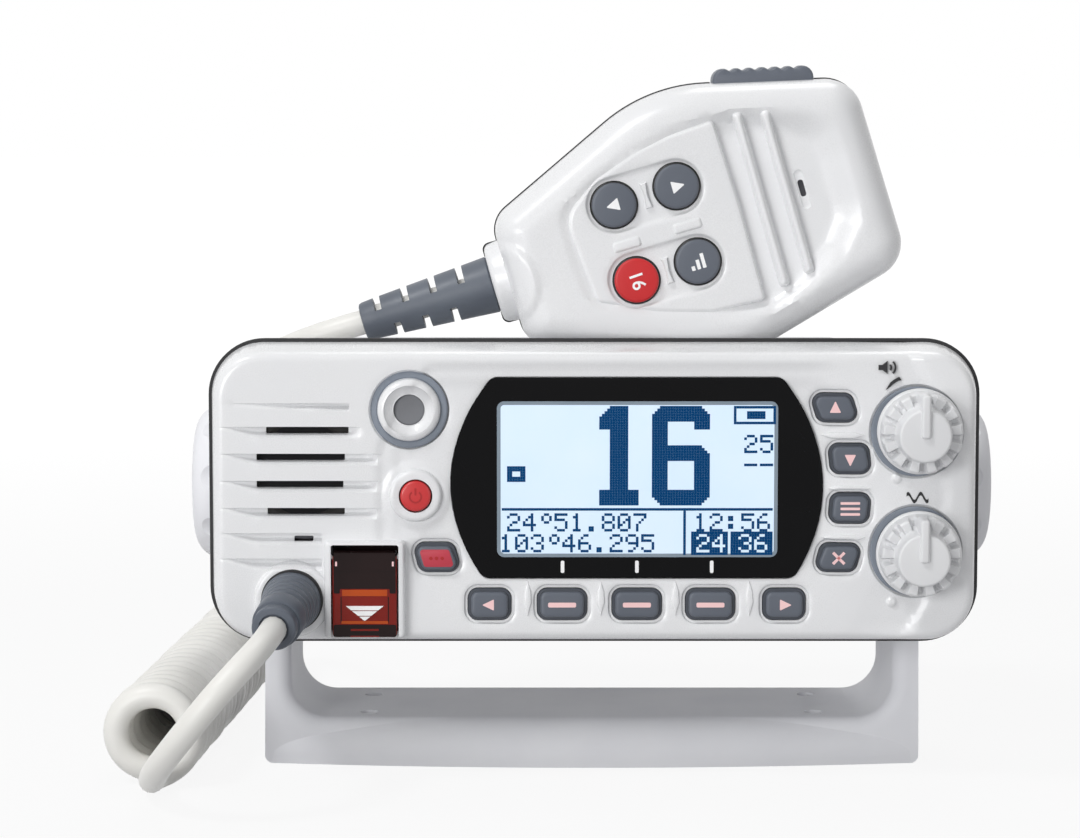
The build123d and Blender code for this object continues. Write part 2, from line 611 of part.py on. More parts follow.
def panel_boot():
    """Ribbed strain relief: straight root in the panel, then a leaning cone."""
    root = Vector(SOCKET[0], PANEL_FRONT, PANEL_Z + SOCKET[1])
    lean = Vector(*PANEL_BOOT_TIP) - root
    cone = turned([(0, 0), (6.1, 0), (5.2, lean.length - 6.5), (6.0, lean.length - 5.5),
                   (6.0, lean.length), (0, lean.length)])
    rings = [Pos(0, 0, 4.1 + 2.8 * step) * Cylinder(6.5 - 0.18 * step, 1.5) for step in range(5)]
    flange = Pos(*SOCKET) * (Circle(8.0) & Rectangle(14.2, 14.2))
    flange = slab(flange, PANEL_FRONT + WALL + 0.1, PANEL_FRONT + WALL + 2)
    throat = disc(SOCKET, 6.2, PANEL_FRONT - 1.6, PANEL_FRONT + WALL + 0.5)
    return Plane(origin=root, z_dir=lean) * (cone + rings) + throat + flange


# ---- Microphone ------------------------------------------------------------------------------------
def mic_outline(inset=0.0):
    """Fist outline: long shoulders that meet in wide rounds above and below."""
    points = [(-37.2, 14.0), (8.5, 34.5), (56.3, 22.6), (57.1, -23.2), (8.2, -36.1), (-37.2, -17.0)]
    outline = rounded_outline(points, [7.0, 40.0, 9.0, 9.0, 40.0, 7.0])
    return offset(outline, -inset) if inset else outline


def mic_recess():
    """Sunken face of the microphone."""
    points = [(-19.0, 17.0), (13.1, 27.7), (49.1, 17.2), (49.1, -14.8), (11.3, -26.2), (-19.0, -14.1)]
    return rounded_outline(points, [3.0, 30.0, 5.0, 5.0, 30.0, 3.0])


def mic_body(inset, rounding):
    """Whole microphone body, drawn inset from its skin, with rounded front and back edges."""
    body = slab(mic_outline(inset), MIC_FRONT + inset, MIC_BACK - inset, mic_plane)
    ends = body.faces().sort_by(Axis.Y)
    return fillet(ends[0].edges() + ends[-1].edges(), rounding)


def mic_collar():
    """Round collar that the cord boot comes out of, pointing away from the keys."""
    plane = mic_plane(MIC_Y)
    start = plane.from_local_coords(Vector(-31.0, COLLAR_V, 0))
    collar = Cylinder(COLLAR_RADIUS, -31.0 - COLLAR_END, align=(Align.CENTER, Align.CENTER, Align.MIN))
    collar = fillet(collar.edges().sort_by(Axis.Z)[-1], COLLAR_ROUND)
    return Plane(origin=start, z_dir=-plane.x_dir) * collar


def along_boot(solid):
    """Places a solid of revolution at the collar's mouth, its axis along the cord's way out."""
    plane = mic_plane(MIC_Y)
    mouth = plane.from_local_coords(Vector(COLLAR_END, COLLAR_V, 0))
    return Plane(origin=mouth, z_dir=-plane.x_dir) * solid


def ptt_place():
    """Plane on the upper right shoulder, local y square to it and outwards."""
    plane = mic_plane(MIC_Y)
    middle = plane.from_local_coords(Vector(35.4, 27.8, 0))
    lean = radians(MIC_LEAN - 13.9)
    return Plane(origin=middle, x_dir=(cos(lean), 0, sin(lean)), z_dir=(0, -1, 0))


def ptt_opening(margin):
    """Room for the push-to-talk bar and its travel."""
    return ptt_place() * Box(PTT_SPAN + 0.8 + margin, 16.0 + margin, PTT_WIDTH + 0.8)


def mic_casing():
    """Both halves in one piece, hollow, with the openings for boot and push-to-talk bar."""
    casing = mic_body(0, MIC_ROUND) + mic_collar() - mic_body(MIC_WALL, MIC_ROUND - MIC_WALL)
    casing -= along_boot(turned([(0, -12), (6.05, -12), (6.05, 2), (0, 2)]))
    return casing - ptt_opening(0)


def mic_half(front, back):
    """The part of the casing between two depths."""
    return mic_casing() & block((-60, 100), (front, back), (80, 190))


def mic_front_shell():
    """Front half: sunken face, key wells, ribs, sound slot and screw posts."""
    shell = mic_half(-40, MIC_Y - MIC_SEAM)
    shell += [disc(centre, 3.0, MIC_FRONT + 1, MIC_Y - MIC_SEAM, mic_plane) for centre in MIC_POSTS]
    shell -= [disc(centre, 1.3, MIC_Y - 9, MIC_Y, mic_plane) for centre in MIC_POSTS]
    floor = MIC_FRONT + 1.0
    valley = mic_recess() & Pos(42.0, 0) * Rectangle(40.8, 60)
    shell += slab(offset(mic_recess(), 1.5), MIC_FRONT + 1, MIC_FRONT + MIC_VALLEY + 2, mic_plane)
    shell -= slab(mic_recess(), MIC_FRONT - 1, floor, mic_plane)
    shell -= slab(valley, MIC_FRONT - 1, MIC_FRONT + MIC_VALLEY, mic_plane)
    for v in (9.7, -9.0):
        well = Pos(0, v) * SlotCenterToCenter(15.8, 13.6)
        shell -= slab(well, MIC_FRONT - 1, floor + 0.5, mic_plane)
    shell += [slab(Pos(u, 0.9) * RectangleRounded(2.7, 53.5 - 0.4 * u, 1.2), MIC_FRONT + 0.1,
                   MIC_FRONT + MIC_VALLEY + 1, mic_plane) for u in MIC_RIBS]
    shell -= [disc(centre, MIC_KEY_RADIUS + 0.25, -40, -20, mic_plane) for centre in MIC_KEYS.values()]
    return shell - slab(Pos(*MIC_SLOT) * RectangleRounded(1.5, 4.2, 0.6), -40, -25, mic_plane)


def mic_rear_shell():
    """Rear half: hang button hole and countersunk screw holes."""
    shell = mic_half(MIC_Y + MIC_SEAM, 10)
    shell += [disc(centre, 3.6, MIC_Y + MIC_SEAM, MIC_BACK - 1, mic_plane) for centre in MIC_POSTS]
    shell -= [disc(centre, 1.7, MIC_Y - 1, 10, mic_plane) for centre in MIC_POSTS]
    shell -= [disc(centre, 3.0, MIC_BACK - 2.2, 10, mic_plane) for centre in MIC_POSTS]
    return shell - disc((6.0, -1.0), 2.6, -5, 10, mic_plane)


def mic_gasket():
    """Dark seal between the halves, a hair proud of them, led round the push-to-talk bar."""
    seam = (MIC_Y - MIC_SEAM, MIC_Y + MIC_SEAM, mic_plane)
    collar = Pos(-35.0, COLLAR_V) * RectangleRounded(12.6, 2 * COLLAR_RADIUS + 0.6, COLLAR_ROUND + 0.3)
    ring = slab(offset(mic_outline(), 0.3) + collar - mic_outline(MIC_WALL), *seam)
    loop = slab(mic_outline(), *seam) & ptt_opening(2.4)
    mouth = slab(Pos(-36.0, COLLAR_V) * Rectangle(14.0, 14.0), *seam)
    return ring + loop - ptt_opening(0) - mouth


def mic_board():
    """Board that carries the key switches, cleared round the posts, bar and boot."""
    board = slab(mic_outline(6.0), -22.0, -22.0 + BOARD_THICK, mic_plane)
    board -= [disc(centre, 4.0, -30, -10, mic_plane) for centre in MIC_POSTS]
    board -= slab(Pos(-33, 0) * Rectangle(16.4, 60), -30, -10, mic_plane)
    return board - slab(Pos(36, 30) * Rectangle(32, 22), -30, -10, mic_plane)


def mic_capsule():
    """Sound capsule behind its slot."""
    return disc(MIC_SLOT, 4.8, MIC_FRONT + MIC_VALLEY + 2.1, -22.1, mic_plane)


def mic_screws():
    """Four screws through the rear half into the front half's posts."""
    screws = []
    for centre in MIC_POSTS:
        head = disc(centre, 2.7, MIC_BACK - 2.2, MIC_BACK - 0.7, mic_plane)
        screws.append(head + disc(centre, 1.25, MIC_Y - 8, MIC_BACK - 2, mic_plane))
    return screws


def mic_hang_button():
    """Mushroom-shaped button that hangs in a clip."""
    button = turned([(0, -4.5), (2.5, -4.5), (2.5, 0.05), (4.6, 0.05), (4.6, 3.0), (8.6, 3.4),
                     (8.6, 5.0), (7.0, 6.0), (0, 6.4)])
    centre = mic_plane(MIC_BACK).from_local_coords(Vector(6.0, -1.0, 0))
    return Plane(origin=centre, z_dir=(0, 1, 0)) * button


def mic_boot():
    """Slotted strain relief of the microphone, tapering to the cord."""
    root_radius, tip_radius = 6.8, 4.7
    neck = [(0, -12), (8.0, -12), (8.0, -10.4), (6.0, -10.4), (6.0, 0.05)]
    boot = turned(neck + [(root_radius, 0.05), (tip_radius, BOOT_LENGTH), (0, BOOT_LENGTH)])
    for step in range(5):
        height = 6.4 + 4.8 * step
        waist = root_radius - (root_radius - tip_radius) * height / BOOT_LENGTH - 1.1
        boot -= Pos(0, 0, height) * (Cylinder(12, 1.9) - Cylinder(waist, 1.9))
    return along_boot(boot)


def mic_key(centre):
    """Round rubber key, slightly domed at its edge."""
    key = disc(centre, MIC_KEY_RADIUS, MIC_FRONT - 0.6, -24.5, mic_plane)
    return fillet(key.edges().sort_by(Axis.Y)[0], 0.9)


def ptt_button():
    """Push-to-talk bar: ridged crown above the shoulder, skirt inside the casing."""
    bar = Pos(0, -1.1, 0) * Box(PTT_SPAN, 9.0, PTT_WIDTH)
    bar = fillet(bar.edges().filter_by(Axis.Z).group_by(Axis.Y)[-1], 2.4)
    bar = fillet(bar.faces().sort_by(Axis.Z)[0].edges().group_by(Axis.Y)[-1], 1.0)
    bar -= [Pos(-8.4 + 2.8 * step, 3.6, 0) * Cylinder(0.6, PTT_WIDTH + 2) for step in range(7)]
    return ptt_place() * bar


def beyond_boot(distance):
    """Point on the microphone boot's axis, some way past its tip."""
    along = COLLAR_END - BOOT_LENGTH - distance
    return tuple(mic_plane(MIC_Y).from_local_coords(Vector(along, COLLAR_V, 0)))


# ---- Cord ----------------------------------------------------------------------------------------
def cord_coil():
    """Outer shape of the coiled part, lying on the floor beside the radio."""
    start = Vector(*COIL_FRONT, COIL_RADIUS)
    axis = Vector(*COIL_BACK, COIL_RADIUS) - start
    coil = Cylinder(COIL_RADIUS, axis.length, align=(Align.CENTER, Align.CENTER, Align.MIN))
    return Plane(origin=start, z_dir=axis) * coil


# ---- Whole object ----------------------------------------------------------------------------------
def build():
    """Every node by name; a list is a group of identical separate solids."""
    nodes = {
        "bracket": bracket(),
        "gimbal_knob_right": gimbal_knob(),
        "gimbal_stud_right": gimbal_stud(),
        "gimbal_knob_left": mirror(gimbal_knob(), about=Plane.YZ),
        "gimbal_stud_left": mirror(gimbal_stud(), about=Plane.YZ),
        "chassis": chassis(),
        "chassis_screws": chassis_screws(),
        "thread_inserts": thread_inserts(),
        "friction_washers": friction_washers(),
        "antenna_socket": antenna_socket(),
        "rear_glands": rear_glands(),
        "main_board": main_board(),
        "shield_can": shield_can(),
        "front_gasket": front_gasket(),
        "front_panel": front_panel(),
        "display_window": display_window(),
        "lcd_module": lcd_module(),
        "key_power": power_key(),
        "keypad_mat": keypad_mat(),
        "front_board": front_board(),
        "port_plug": port_plug(),
        "rotary_pots": rotary_pots(),
        "speaker": speaker(),
        "speaker_cone": speaker_cone(),
        "distress_cover": distress_cover(),
        "distress_hinge_pin": distress_hinge_pin(),
        "distress_button": distress_button(),
        "boot_seal": boot_seal(),
        "panel_boot": panel_boot(),
        "mic_front_shell": mic_front_shell(),
        "mic_rear_shell": mic_rear_shell(),
        "mic_gasket": mic_gasket(),
        "mic_board": mic_board(),
        "mic_capsule": mic_capsule(),
        "mic_screws": mic_screws(),
        "mic_hang_button": mic_hang_button(),
        "mic_boot": mic_boot(),
        "ptt_button": ptt_button(),
        "cord_coil": cord_coil(),
        "cord_front_lead": cord_tube("cord_front_lead", FRONT_LEAD),
        "cord_riser": cord_tube("cord_riser", RISER),
        "cord_mic_lead": cord_tube("cord_mic_lead", MIC_LEAD + [beyond_boot(8.3), beyond_boot(0)]),
    }
    nodes.update({name: panel_key(key) for name, key in KEYS.items()})
    nodes.update({f"{name}_knob": rotary_knob(centre) for name, centre in KNOB_CENTRES.items()})
    nodes.update({f"{name}_shaft": knob_shaft(centre) for name, centre in KNOB_CENTRES.items()})
    nodes.update({f"mic_key_{name}": mic_key(centre) for name, centre in MIC_KEYS.items()})
    return nodes


def main():
    """Writes one STEP file for each node."""
    os.makedirs("parts", exist_ok=True)
    for name, shape in build().items():
        if isinstance(shape, list):
            shape = Compound(children=shape)
        export_step(shape, f"parts/{name}.step")


main()
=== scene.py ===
"""Looks of a fixed-mount marine radio with its gimbal bracket, fist microphone and curly cord.

Every class dresses one sub-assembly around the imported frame. Sizes are in millimetres in the
code and become metres when a mesh is made. +X is to the right of someone who faces the panel,
+Y is to the rear and +Z is up.
"""

import json
import logging
import math
from collections.abc import Callable, Iterable, Sequence
from dataclasses import dataclass, field
from enum import Enum

import bmesh
import bpy
import numpy as np
from mathutils import Vector
from mathutils.geometry import delaunay_2d_cdt
from mathutils.kdtree import KDTree
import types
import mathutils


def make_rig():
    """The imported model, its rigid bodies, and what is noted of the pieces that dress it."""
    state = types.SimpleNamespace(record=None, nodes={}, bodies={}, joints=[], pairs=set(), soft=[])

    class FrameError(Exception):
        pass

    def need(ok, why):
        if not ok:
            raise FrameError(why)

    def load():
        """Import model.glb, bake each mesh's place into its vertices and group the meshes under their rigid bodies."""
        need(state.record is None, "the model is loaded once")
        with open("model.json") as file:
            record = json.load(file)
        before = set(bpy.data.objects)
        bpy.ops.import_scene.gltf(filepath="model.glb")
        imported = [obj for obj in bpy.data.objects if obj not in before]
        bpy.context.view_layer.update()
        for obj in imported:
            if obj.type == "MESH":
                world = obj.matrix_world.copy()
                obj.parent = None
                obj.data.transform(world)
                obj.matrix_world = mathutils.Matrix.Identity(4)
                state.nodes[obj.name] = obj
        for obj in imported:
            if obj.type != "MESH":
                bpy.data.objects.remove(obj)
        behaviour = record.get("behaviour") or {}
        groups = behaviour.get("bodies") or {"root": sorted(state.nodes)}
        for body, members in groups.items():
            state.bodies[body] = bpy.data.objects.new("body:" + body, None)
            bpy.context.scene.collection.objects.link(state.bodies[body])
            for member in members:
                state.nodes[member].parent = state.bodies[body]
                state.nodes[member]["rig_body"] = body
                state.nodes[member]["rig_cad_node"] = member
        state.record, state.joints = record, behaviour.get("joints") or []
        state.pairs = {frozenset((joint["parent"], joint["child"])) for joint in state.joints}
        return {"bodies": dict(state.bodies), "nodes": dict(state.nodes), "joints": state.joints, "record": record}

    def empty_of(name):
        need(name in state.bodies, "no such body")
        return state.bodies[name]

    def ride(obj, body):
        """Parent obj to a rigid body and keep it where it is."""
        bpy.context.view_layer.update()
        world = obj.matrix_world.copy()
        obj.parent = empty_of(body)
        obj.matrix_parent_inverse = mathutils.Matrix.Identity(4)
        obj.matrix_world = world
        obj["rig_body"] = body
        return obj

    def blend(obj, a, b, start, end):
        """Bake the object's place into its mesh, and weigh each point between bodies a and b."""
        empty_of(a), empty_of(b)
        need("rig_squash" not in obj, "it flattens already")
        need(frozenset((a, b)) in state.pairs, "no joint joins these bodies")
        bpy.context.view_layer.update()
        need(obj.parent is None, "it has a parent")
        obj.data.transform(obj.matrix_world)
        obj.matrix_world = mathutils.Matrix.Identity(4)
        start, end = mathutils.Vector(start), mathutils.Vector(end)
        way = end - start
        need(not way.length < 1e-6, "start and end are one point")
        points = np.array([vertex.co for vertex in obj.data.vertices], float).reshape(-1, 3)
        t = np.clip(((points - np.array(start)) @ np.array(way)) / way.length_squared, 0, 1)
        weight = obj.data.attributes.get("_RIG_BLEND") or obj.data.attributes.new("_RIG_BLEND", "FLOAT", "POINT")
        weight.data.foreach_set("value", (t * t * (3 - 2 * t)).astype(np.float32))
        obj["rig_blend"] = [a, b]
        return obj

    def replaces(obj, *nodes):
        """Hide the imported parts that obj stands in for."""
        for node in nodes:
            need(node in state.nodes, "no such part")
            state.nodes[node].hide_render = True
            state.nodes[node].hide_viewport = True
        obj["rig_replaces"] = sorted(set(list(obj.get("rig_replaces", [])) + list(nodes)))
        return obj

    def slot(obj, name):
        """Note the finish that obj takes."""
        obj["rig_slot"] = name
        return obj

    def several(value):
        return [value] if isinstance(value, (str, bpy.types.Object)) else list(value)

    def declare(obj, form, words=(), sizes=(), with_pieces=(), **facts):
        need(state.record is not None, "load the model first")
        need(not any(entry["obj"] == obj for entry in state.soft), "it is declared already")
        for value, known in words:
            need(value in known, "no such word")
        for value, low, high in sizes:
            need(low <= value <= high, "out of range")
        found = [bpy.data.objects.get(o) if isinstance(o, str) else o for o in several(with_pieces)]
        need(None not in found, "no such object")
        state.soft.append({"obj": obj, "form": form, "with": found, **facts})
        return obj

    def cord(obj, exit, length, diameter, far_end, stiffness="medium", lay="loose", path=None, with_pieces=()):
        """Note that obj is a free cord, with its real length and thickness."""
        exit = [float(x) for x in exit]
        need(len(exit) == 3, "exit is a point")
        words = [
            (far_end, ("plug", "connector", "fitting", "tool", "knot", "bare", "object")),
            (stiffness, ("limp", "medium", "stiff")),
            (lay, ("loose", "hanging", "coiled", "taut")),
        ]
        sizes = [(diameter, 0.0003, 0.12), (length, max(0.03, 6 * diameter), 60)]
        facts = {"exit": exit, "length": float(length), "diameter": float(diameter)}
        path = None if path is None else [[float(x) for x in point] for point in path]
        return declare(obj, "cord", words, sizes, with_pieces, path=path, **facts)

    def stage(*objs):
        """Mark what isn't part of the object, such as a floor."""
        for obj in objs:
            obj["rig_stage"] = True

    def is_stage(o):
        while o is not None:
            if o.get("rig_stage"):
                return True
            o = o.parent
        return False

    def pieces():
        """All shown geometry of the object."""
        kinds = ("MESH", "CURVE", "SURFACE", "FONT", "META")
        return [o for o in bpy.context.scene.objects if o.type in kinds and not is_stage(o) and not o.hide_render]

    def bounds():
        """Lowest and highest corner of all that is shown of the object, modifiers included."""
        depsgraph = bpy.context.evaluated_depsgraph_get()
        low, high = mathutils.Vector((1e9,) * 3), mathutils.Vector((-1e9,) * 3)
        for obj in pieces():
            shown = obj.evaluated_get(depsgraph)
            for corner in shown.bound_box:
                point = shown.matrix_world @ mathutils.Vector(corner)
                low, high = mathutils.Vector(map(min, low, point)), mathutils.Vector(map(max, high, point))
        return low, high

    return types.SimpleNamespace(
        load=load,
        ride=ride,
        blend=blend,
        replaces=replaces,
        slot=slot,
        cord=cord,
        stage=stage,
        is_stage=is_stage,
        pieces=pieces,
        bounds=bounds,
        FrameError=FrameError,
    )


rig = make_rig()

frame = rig.load()
CAD_BOX = [list(corner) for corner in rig.bounds()]

LOG = logging.getLogger("marine_radio")
MM = 0.001
Point2 = tuple[float, float]
Point3 = tuple[float, float, float]
Colour = tuple[float, float, float]
Material = bpy.types.Material
Socket = bpy.types.NodeSocket

PANEL_FRONT = -51.5
PANEL_BACK = -39.5
PANEL_Z = 71.0
MIC_ORIGIN = (15.0, -30.9, 129.97)
MIC_LEAN = 16.3
MIC_SEAM_Y = -13.5
MIC_BOOT_ROOT = -41.0
MIC_BOOT_TIP = -74.3
MIC_BOOT_HEIGHT = -1.25
WINDOW = ((-22.7, -15.65), (43.0, 20.95))


# ---- Outlines --------------------
def arc(centre: Point2, reach: Point2, angles: Iterable[float]) -> list[Point2]:
    """Points on a circle or an ellipse.

    Args:
        centre: Its middle.
        reach: Its half widths along the two directions.
        angles: The points' angles.
    Returns:
        The points.
    """
    return [(centre[0] + reach[0] * math.cos(a), centre[1] + reach[1] * math.sin(a)) for a in angles]


def circle(centre: Point2, radius: float, count: int = 72) -> list[Point2]:
    """Closed round outline, anticlockwise.

    Args:
        centre: Its middle.
        radius: Its radius.
        count: How many points it has.
    Returns:
        The outline's points.
    """
    return arc(centre, (radius, radius), (math.tau / count * i for i in range(count)))


def rounded(points: Sequence[Point2], radii: Sequence[float], arc_points: int = 8) -> list[Point2]:
    """Closed polygon with an arc at each corner.

    Args:
        points: Its corners.
        radii: One radius for each corner.
        arc_points: How many points each arc has.
    Returns:
        The outline's points.
    """
    outline: list[Point2] = []
    for index, corner in enumerate(points):
        here = Vector(corner)
        back = (Vector(points[index - 1]) - here).normalized()
        ahead = (Vector(points[(index + 1) % len(points)]) - here).normalized()
        half = back.angle(ahead) / 2
        radius = radii[index]
        if radius < 1e-6:
            outline.append(tuple(here))
            continue
        centre = here + (back + ahead).normalized() * radius / math.sin(half)
        start = here + back * radius / math.tan(half) - centre
        stop = here + ahead * radius / math.tan(half) - centre
        begin = math.atan2(start.y, start.x)
        sweep = (math.atan2(stop.y, stop.x) - begin + math.pi) % math.tau - math.pi
        for step in range(arc_points):
            angle = begin + sweep * step / (arc_points - 1)
            outline.append((centre.x + radius * math.cos(angle), centre.y + radius * math.sin(angle)))
    return outline


def resampled(outline: Sequence[Point2], spacing: float, closed: bool = True) -> list[Point2]:
    """The same line with points no further apart than the spacing.

    Args:
        outline: The line's points.
        spacing: Longest step wanted.
        closed: Whether the last point joins the first.
    Returns:
        The points, the old ones among them.
    """
    result: list[Point2] = []
    pairs = zip(outline, list(outline[1:]) + [outline[0]]) if closed else zip(outline, outline[1:])
    for start, stop in pairs:
        steps = max(1, math.ceil(math.dist(start, stop) / spacing))
        result += [(start[0] + (stop[0] - start[0]) * i / steps, start[1] + (stop[1] - start[1]) * i / steps)
                   for i in range(steps)]
    return result if closed else result + [tuple(outline[-1])]


def signed_distance(outline: Sequence[Point2], x: np.ndarray, z: np.ndarray) -> np.ndarray:
    """How far points are from a closed outline, negative inside.

    Args:
        outline: The closed outline.
        x: Points' first coordinates.
        z: Points' second coordinates.
    Returns:
        One distance for each point.
    """
    nearest = np.full(x.shape, 1e9)
    inside = np.zeros(x.shape, bool)
    for (ax, az), (bx, bz) in zip(outline, list(outline[1:]) + [outline[0]]):
        dx, dz = bx - ax, bz - az
        along = np.clip(((x - ax) * dx + (z - az) * dz) / max(dx * dx + dz * dz, 1e-12), 0, 1)
        nearest = np.minimum(nearest, np.hypot(x - ax - along * dx, z - az - along * dz))
        if dz:
            crosses = ((az > z) != (bz > z)) & (x < dx * (z - az) / dz + ax)
            inside ^= crosses
    return np.where(inside, -nearest, nearest)


def grown(outline: Sequence[Point2], distance: float) -> list[Point2]:
    """The outline moved outwards along its own normals.

    Args:
        outline: A smooth closed outline, anticlockwise or clockwise.
        distance: How far, negative inwards.
    Returns:
        The moved points.
    """
    points = [p for p, q in zip(outline, [outline[-1], *outline[:-1]]) if math.dist(p, q) > 1e-5]
    area = sum(p[0] * q[1] - q[0] * p[1] for p, q in zip(points, points[1:] + points[:1]))
    side = 1.0 if area > 0 else -1.0
    moved: list[Point2] = []
    for index, (x, z) in enumerate(points):
        before, after = Vector(points[index - 1]), Vector(points[(index + 1) % len(points)])
        run_in = (Vector((x, z)) - before).normalized()
        run_out = (after - Vector((x, z))).normalized()
        normal = Vector((run_in.y + run_out.y, -run_in.x - run_out.x)).normalized() * side
        stretch = max(0.5, normal.dot(Vector((run_in.y, -run_in.x)) * side))
        moved.append((x + normal.x * distance / stretch, z + normal.y * distance / stretch))
    return moved


# ---- Places and meshes --------------------
def placed(name: str, data: bpy.types.ID) -> bpy.types.Object:
    """A new object, linked to the scene.

    Args:
        name: Its name.
        data: Its mesh, curve, lamp or camera.
    Returns:
        The object.
    """
    made = bpy.data.objects.new(name, data)
    bpy.context.scene.collection.objects.link(made)
    return made


@dataclass(frozen=True)
class Facing:
    """A plane that faces the viewer: its centre and how many degrees it leans."""

    origin: Point3
    lean: float = 0.0

    def point(self, across: float, up: float, rise: float) -> Point3:
        """A point from its place on the plane and how far it stands proud of it.

        Args:
            across: Distance to the right, along the lean.
            up: Distance up, square to the lean.
            rise: Distance towards the viewer.
        Returns:
            The point in the part's own frame.
        """
        turn = math.radians(self.lean)
        return (self.origin[0] + across * math.cos(turn) - up * math.sin(turn), self.origin[1] - rise,
                self.origin[2] + across * math.sin(turn) + up * math.cos(turn))

    def ring(self, outline: Iterable[Point2], rise: float) -> list[Point3]:
        """An outline lifted to one height."""
        return [self.point(across, up, rise) for across, up in outline]


PANEL = Facing((0.0, PANEL_FRONT, PANEL_Z))
MIC = Facing(MIC_ORIGIN, MIC_LEAN)
MIC_SEAM = Facing((MIC_ORIGIN[0], MIC_SEAM_Y, MIC_ORIGIN[2]), MIC_LEAN)


class Skin:
    """Gathers closed surfaces into one mesh, each with its own finish."""

    def __init__(self) -> None:
        """Starts with nothing."""
        self.points: list[Point3] = []
        self.faces: list[list[int]] = []
        self.slots: list[int] = []
        self.finishes: list["Paint"] = []

    def add(self, points: Sequence[Point3], faces: Iterable[Sequence[int]], finish: "Paint") -> None:
        """Adds a surface.

        Args:
            points: Its points.
            faces: Its faces, as numbers of its own points.
            finish: Its paint.
        """
        if finish not in self.finishes:
            self.finishes.append(finish)
        slot, start = self.finishes.index(finish), len(self.points)
        self.points += points
        for face in faces:
            self.faces.append([start + number for number in face])
            self.slots.append(slot)

    def loft(self, rings: Sequence[Sequence[Point3]], finish: "Paint", closed: bool = False) -> None:
        """Joins rings of equal counts, and caps the two ends or joins them.

        Args:
            rings: The rings in order.
            finish: Its paint.
            closed: Whether the last ring meets the first, as on a torus.
        """
        count = len(rings[0])
        faces: list[list[int]] = []
        pairs = list(range(len(rings) - 1)) + ([len(rings) - 1] if closed else [])
        for row in pairs:
            low, high = row * count, (row + 1) % len(rings) * count
            faces += [[low + i, low + (i + 1) % count, high + (i + 1) % count, high + i]
                      for i in range(count)]
        if not closed:
            faces.append(list(range(count))[::-1])
            faces.append([(len(rings) - 1) * count + i for i in range(count)])
        self.add([point for ring in rings for point in ring], faces, finish)

    def spin(self, facing: Facing, centre: Point2, profile: Sequence[Point2], finish: "Paint",
             closed: bool = False, count: int = 72) -> None:
        """Turns a profile of (radius, rise) points about an axis square to a plane.

        Args:
            facing: The plane.
            centre: The axis's place on it.
            profile: The points.
            finish: Its paint.
            closed: Whether the profile is a closed loop.
            count: Points in each ring.
        """
        rings = [facing.ring(circle(centre, radius, count), rise) for radius, rise in profile]
        self.loft(rings, finish, closed)

    def plate(self, facing: Facing, outline: Sequence[Point2], low: float, high: float,
              finish: "Paint") -> None:
        """A flat plate between two heights over a plane."""
        self.loft([facing.ring(outline, low), facing.ring(outline, high)], finish)

    def numbers(self, facing: Facing, words: str, centre: Point2, size: float, turn: float, low: float,
                high: float, finish: "Paint") -> None:
        """Raised plain numbers.

        Args:
            facing: The plane that they stand on.
            words: The digits.
            centre: Their middle on it.
            size: Letter height setting.
            turn: How far they are turned, in degrees.
            low: Where they start.
            high: Where they end.
            finish: Their paint.
        """
        data = bpy.data.curves.new("numbers", "FONT")
        data.body, data.size, data.align_x, data.align_y = words, size, "CENTER", "CENTER"
        data.extrude, data.offset, data.resolution_u = (high - low) / 2, size * 0.012, 3
        holder = bpy.data.objects.new("numbers", data)
        mesh = bpy.data.meshes.new_from_object(holder)
        edit = bmesh.new()
        edit.from_mesh(mesh)
        bmesh.ops.remove_doubles(edit, verts=edit.verts, dist=1e-4)
        heading = math.radians(turn)
        points = [facing.point(centre[0] + v.co.x * math.cos(heading) - v.co.y * math.sin(heading),
                               centre[1] + v.co.x * math.sin(heading) + v.co.y * math.cos(heading),
                               (low + high) / 2 + v.co.z) for v in edit.verts]
        edit.verts.index_update()
        faces = [[v.index for v in face.verts] for face in edit.faces]
        edit.free()
        bpy.data.objects.remove(holder)
        self.add(points, faces, finish)

    def piece(self, name: str, body: str, smooth: float = 32.0) -> bpy.types.Object:
        """Makes the object, its faces pointing outwards, riding on a body.

        Args:
            name: The piece's name.
            body: The body that it moves with.
            smooth: Edges sharper than this many degrees stay sharp.
        Returns:
            The new object.
        """
        mesh = bpy.data.meshes.new(name)
        mesh.from_pydata([(x * MM, y * MM, z * MM) for x, y, z in self.points], [], self.faces)
        for finish in self.finishes:
            mesh.materials.append(finish.material)
        mesh.polygons.foreach_set("material_index", self.slots)
        edit = bmesh.new()
        edit.from_mesh(mesh)
        bmesh.ops.recalc_face_normals(edit, faces=edit.faces)
        edit.to_mesh(mesh)
        edit.free()
        mesh.shade_smooth()
        mesh.set_sharp_from_angle(angle=math.radians(smooth))
        obj = placed(name, mesh)
        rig.ride(obj, body)
        LOG.info("%s: %d faces on %s", name, len(mesh.polygons), body)
        return obj


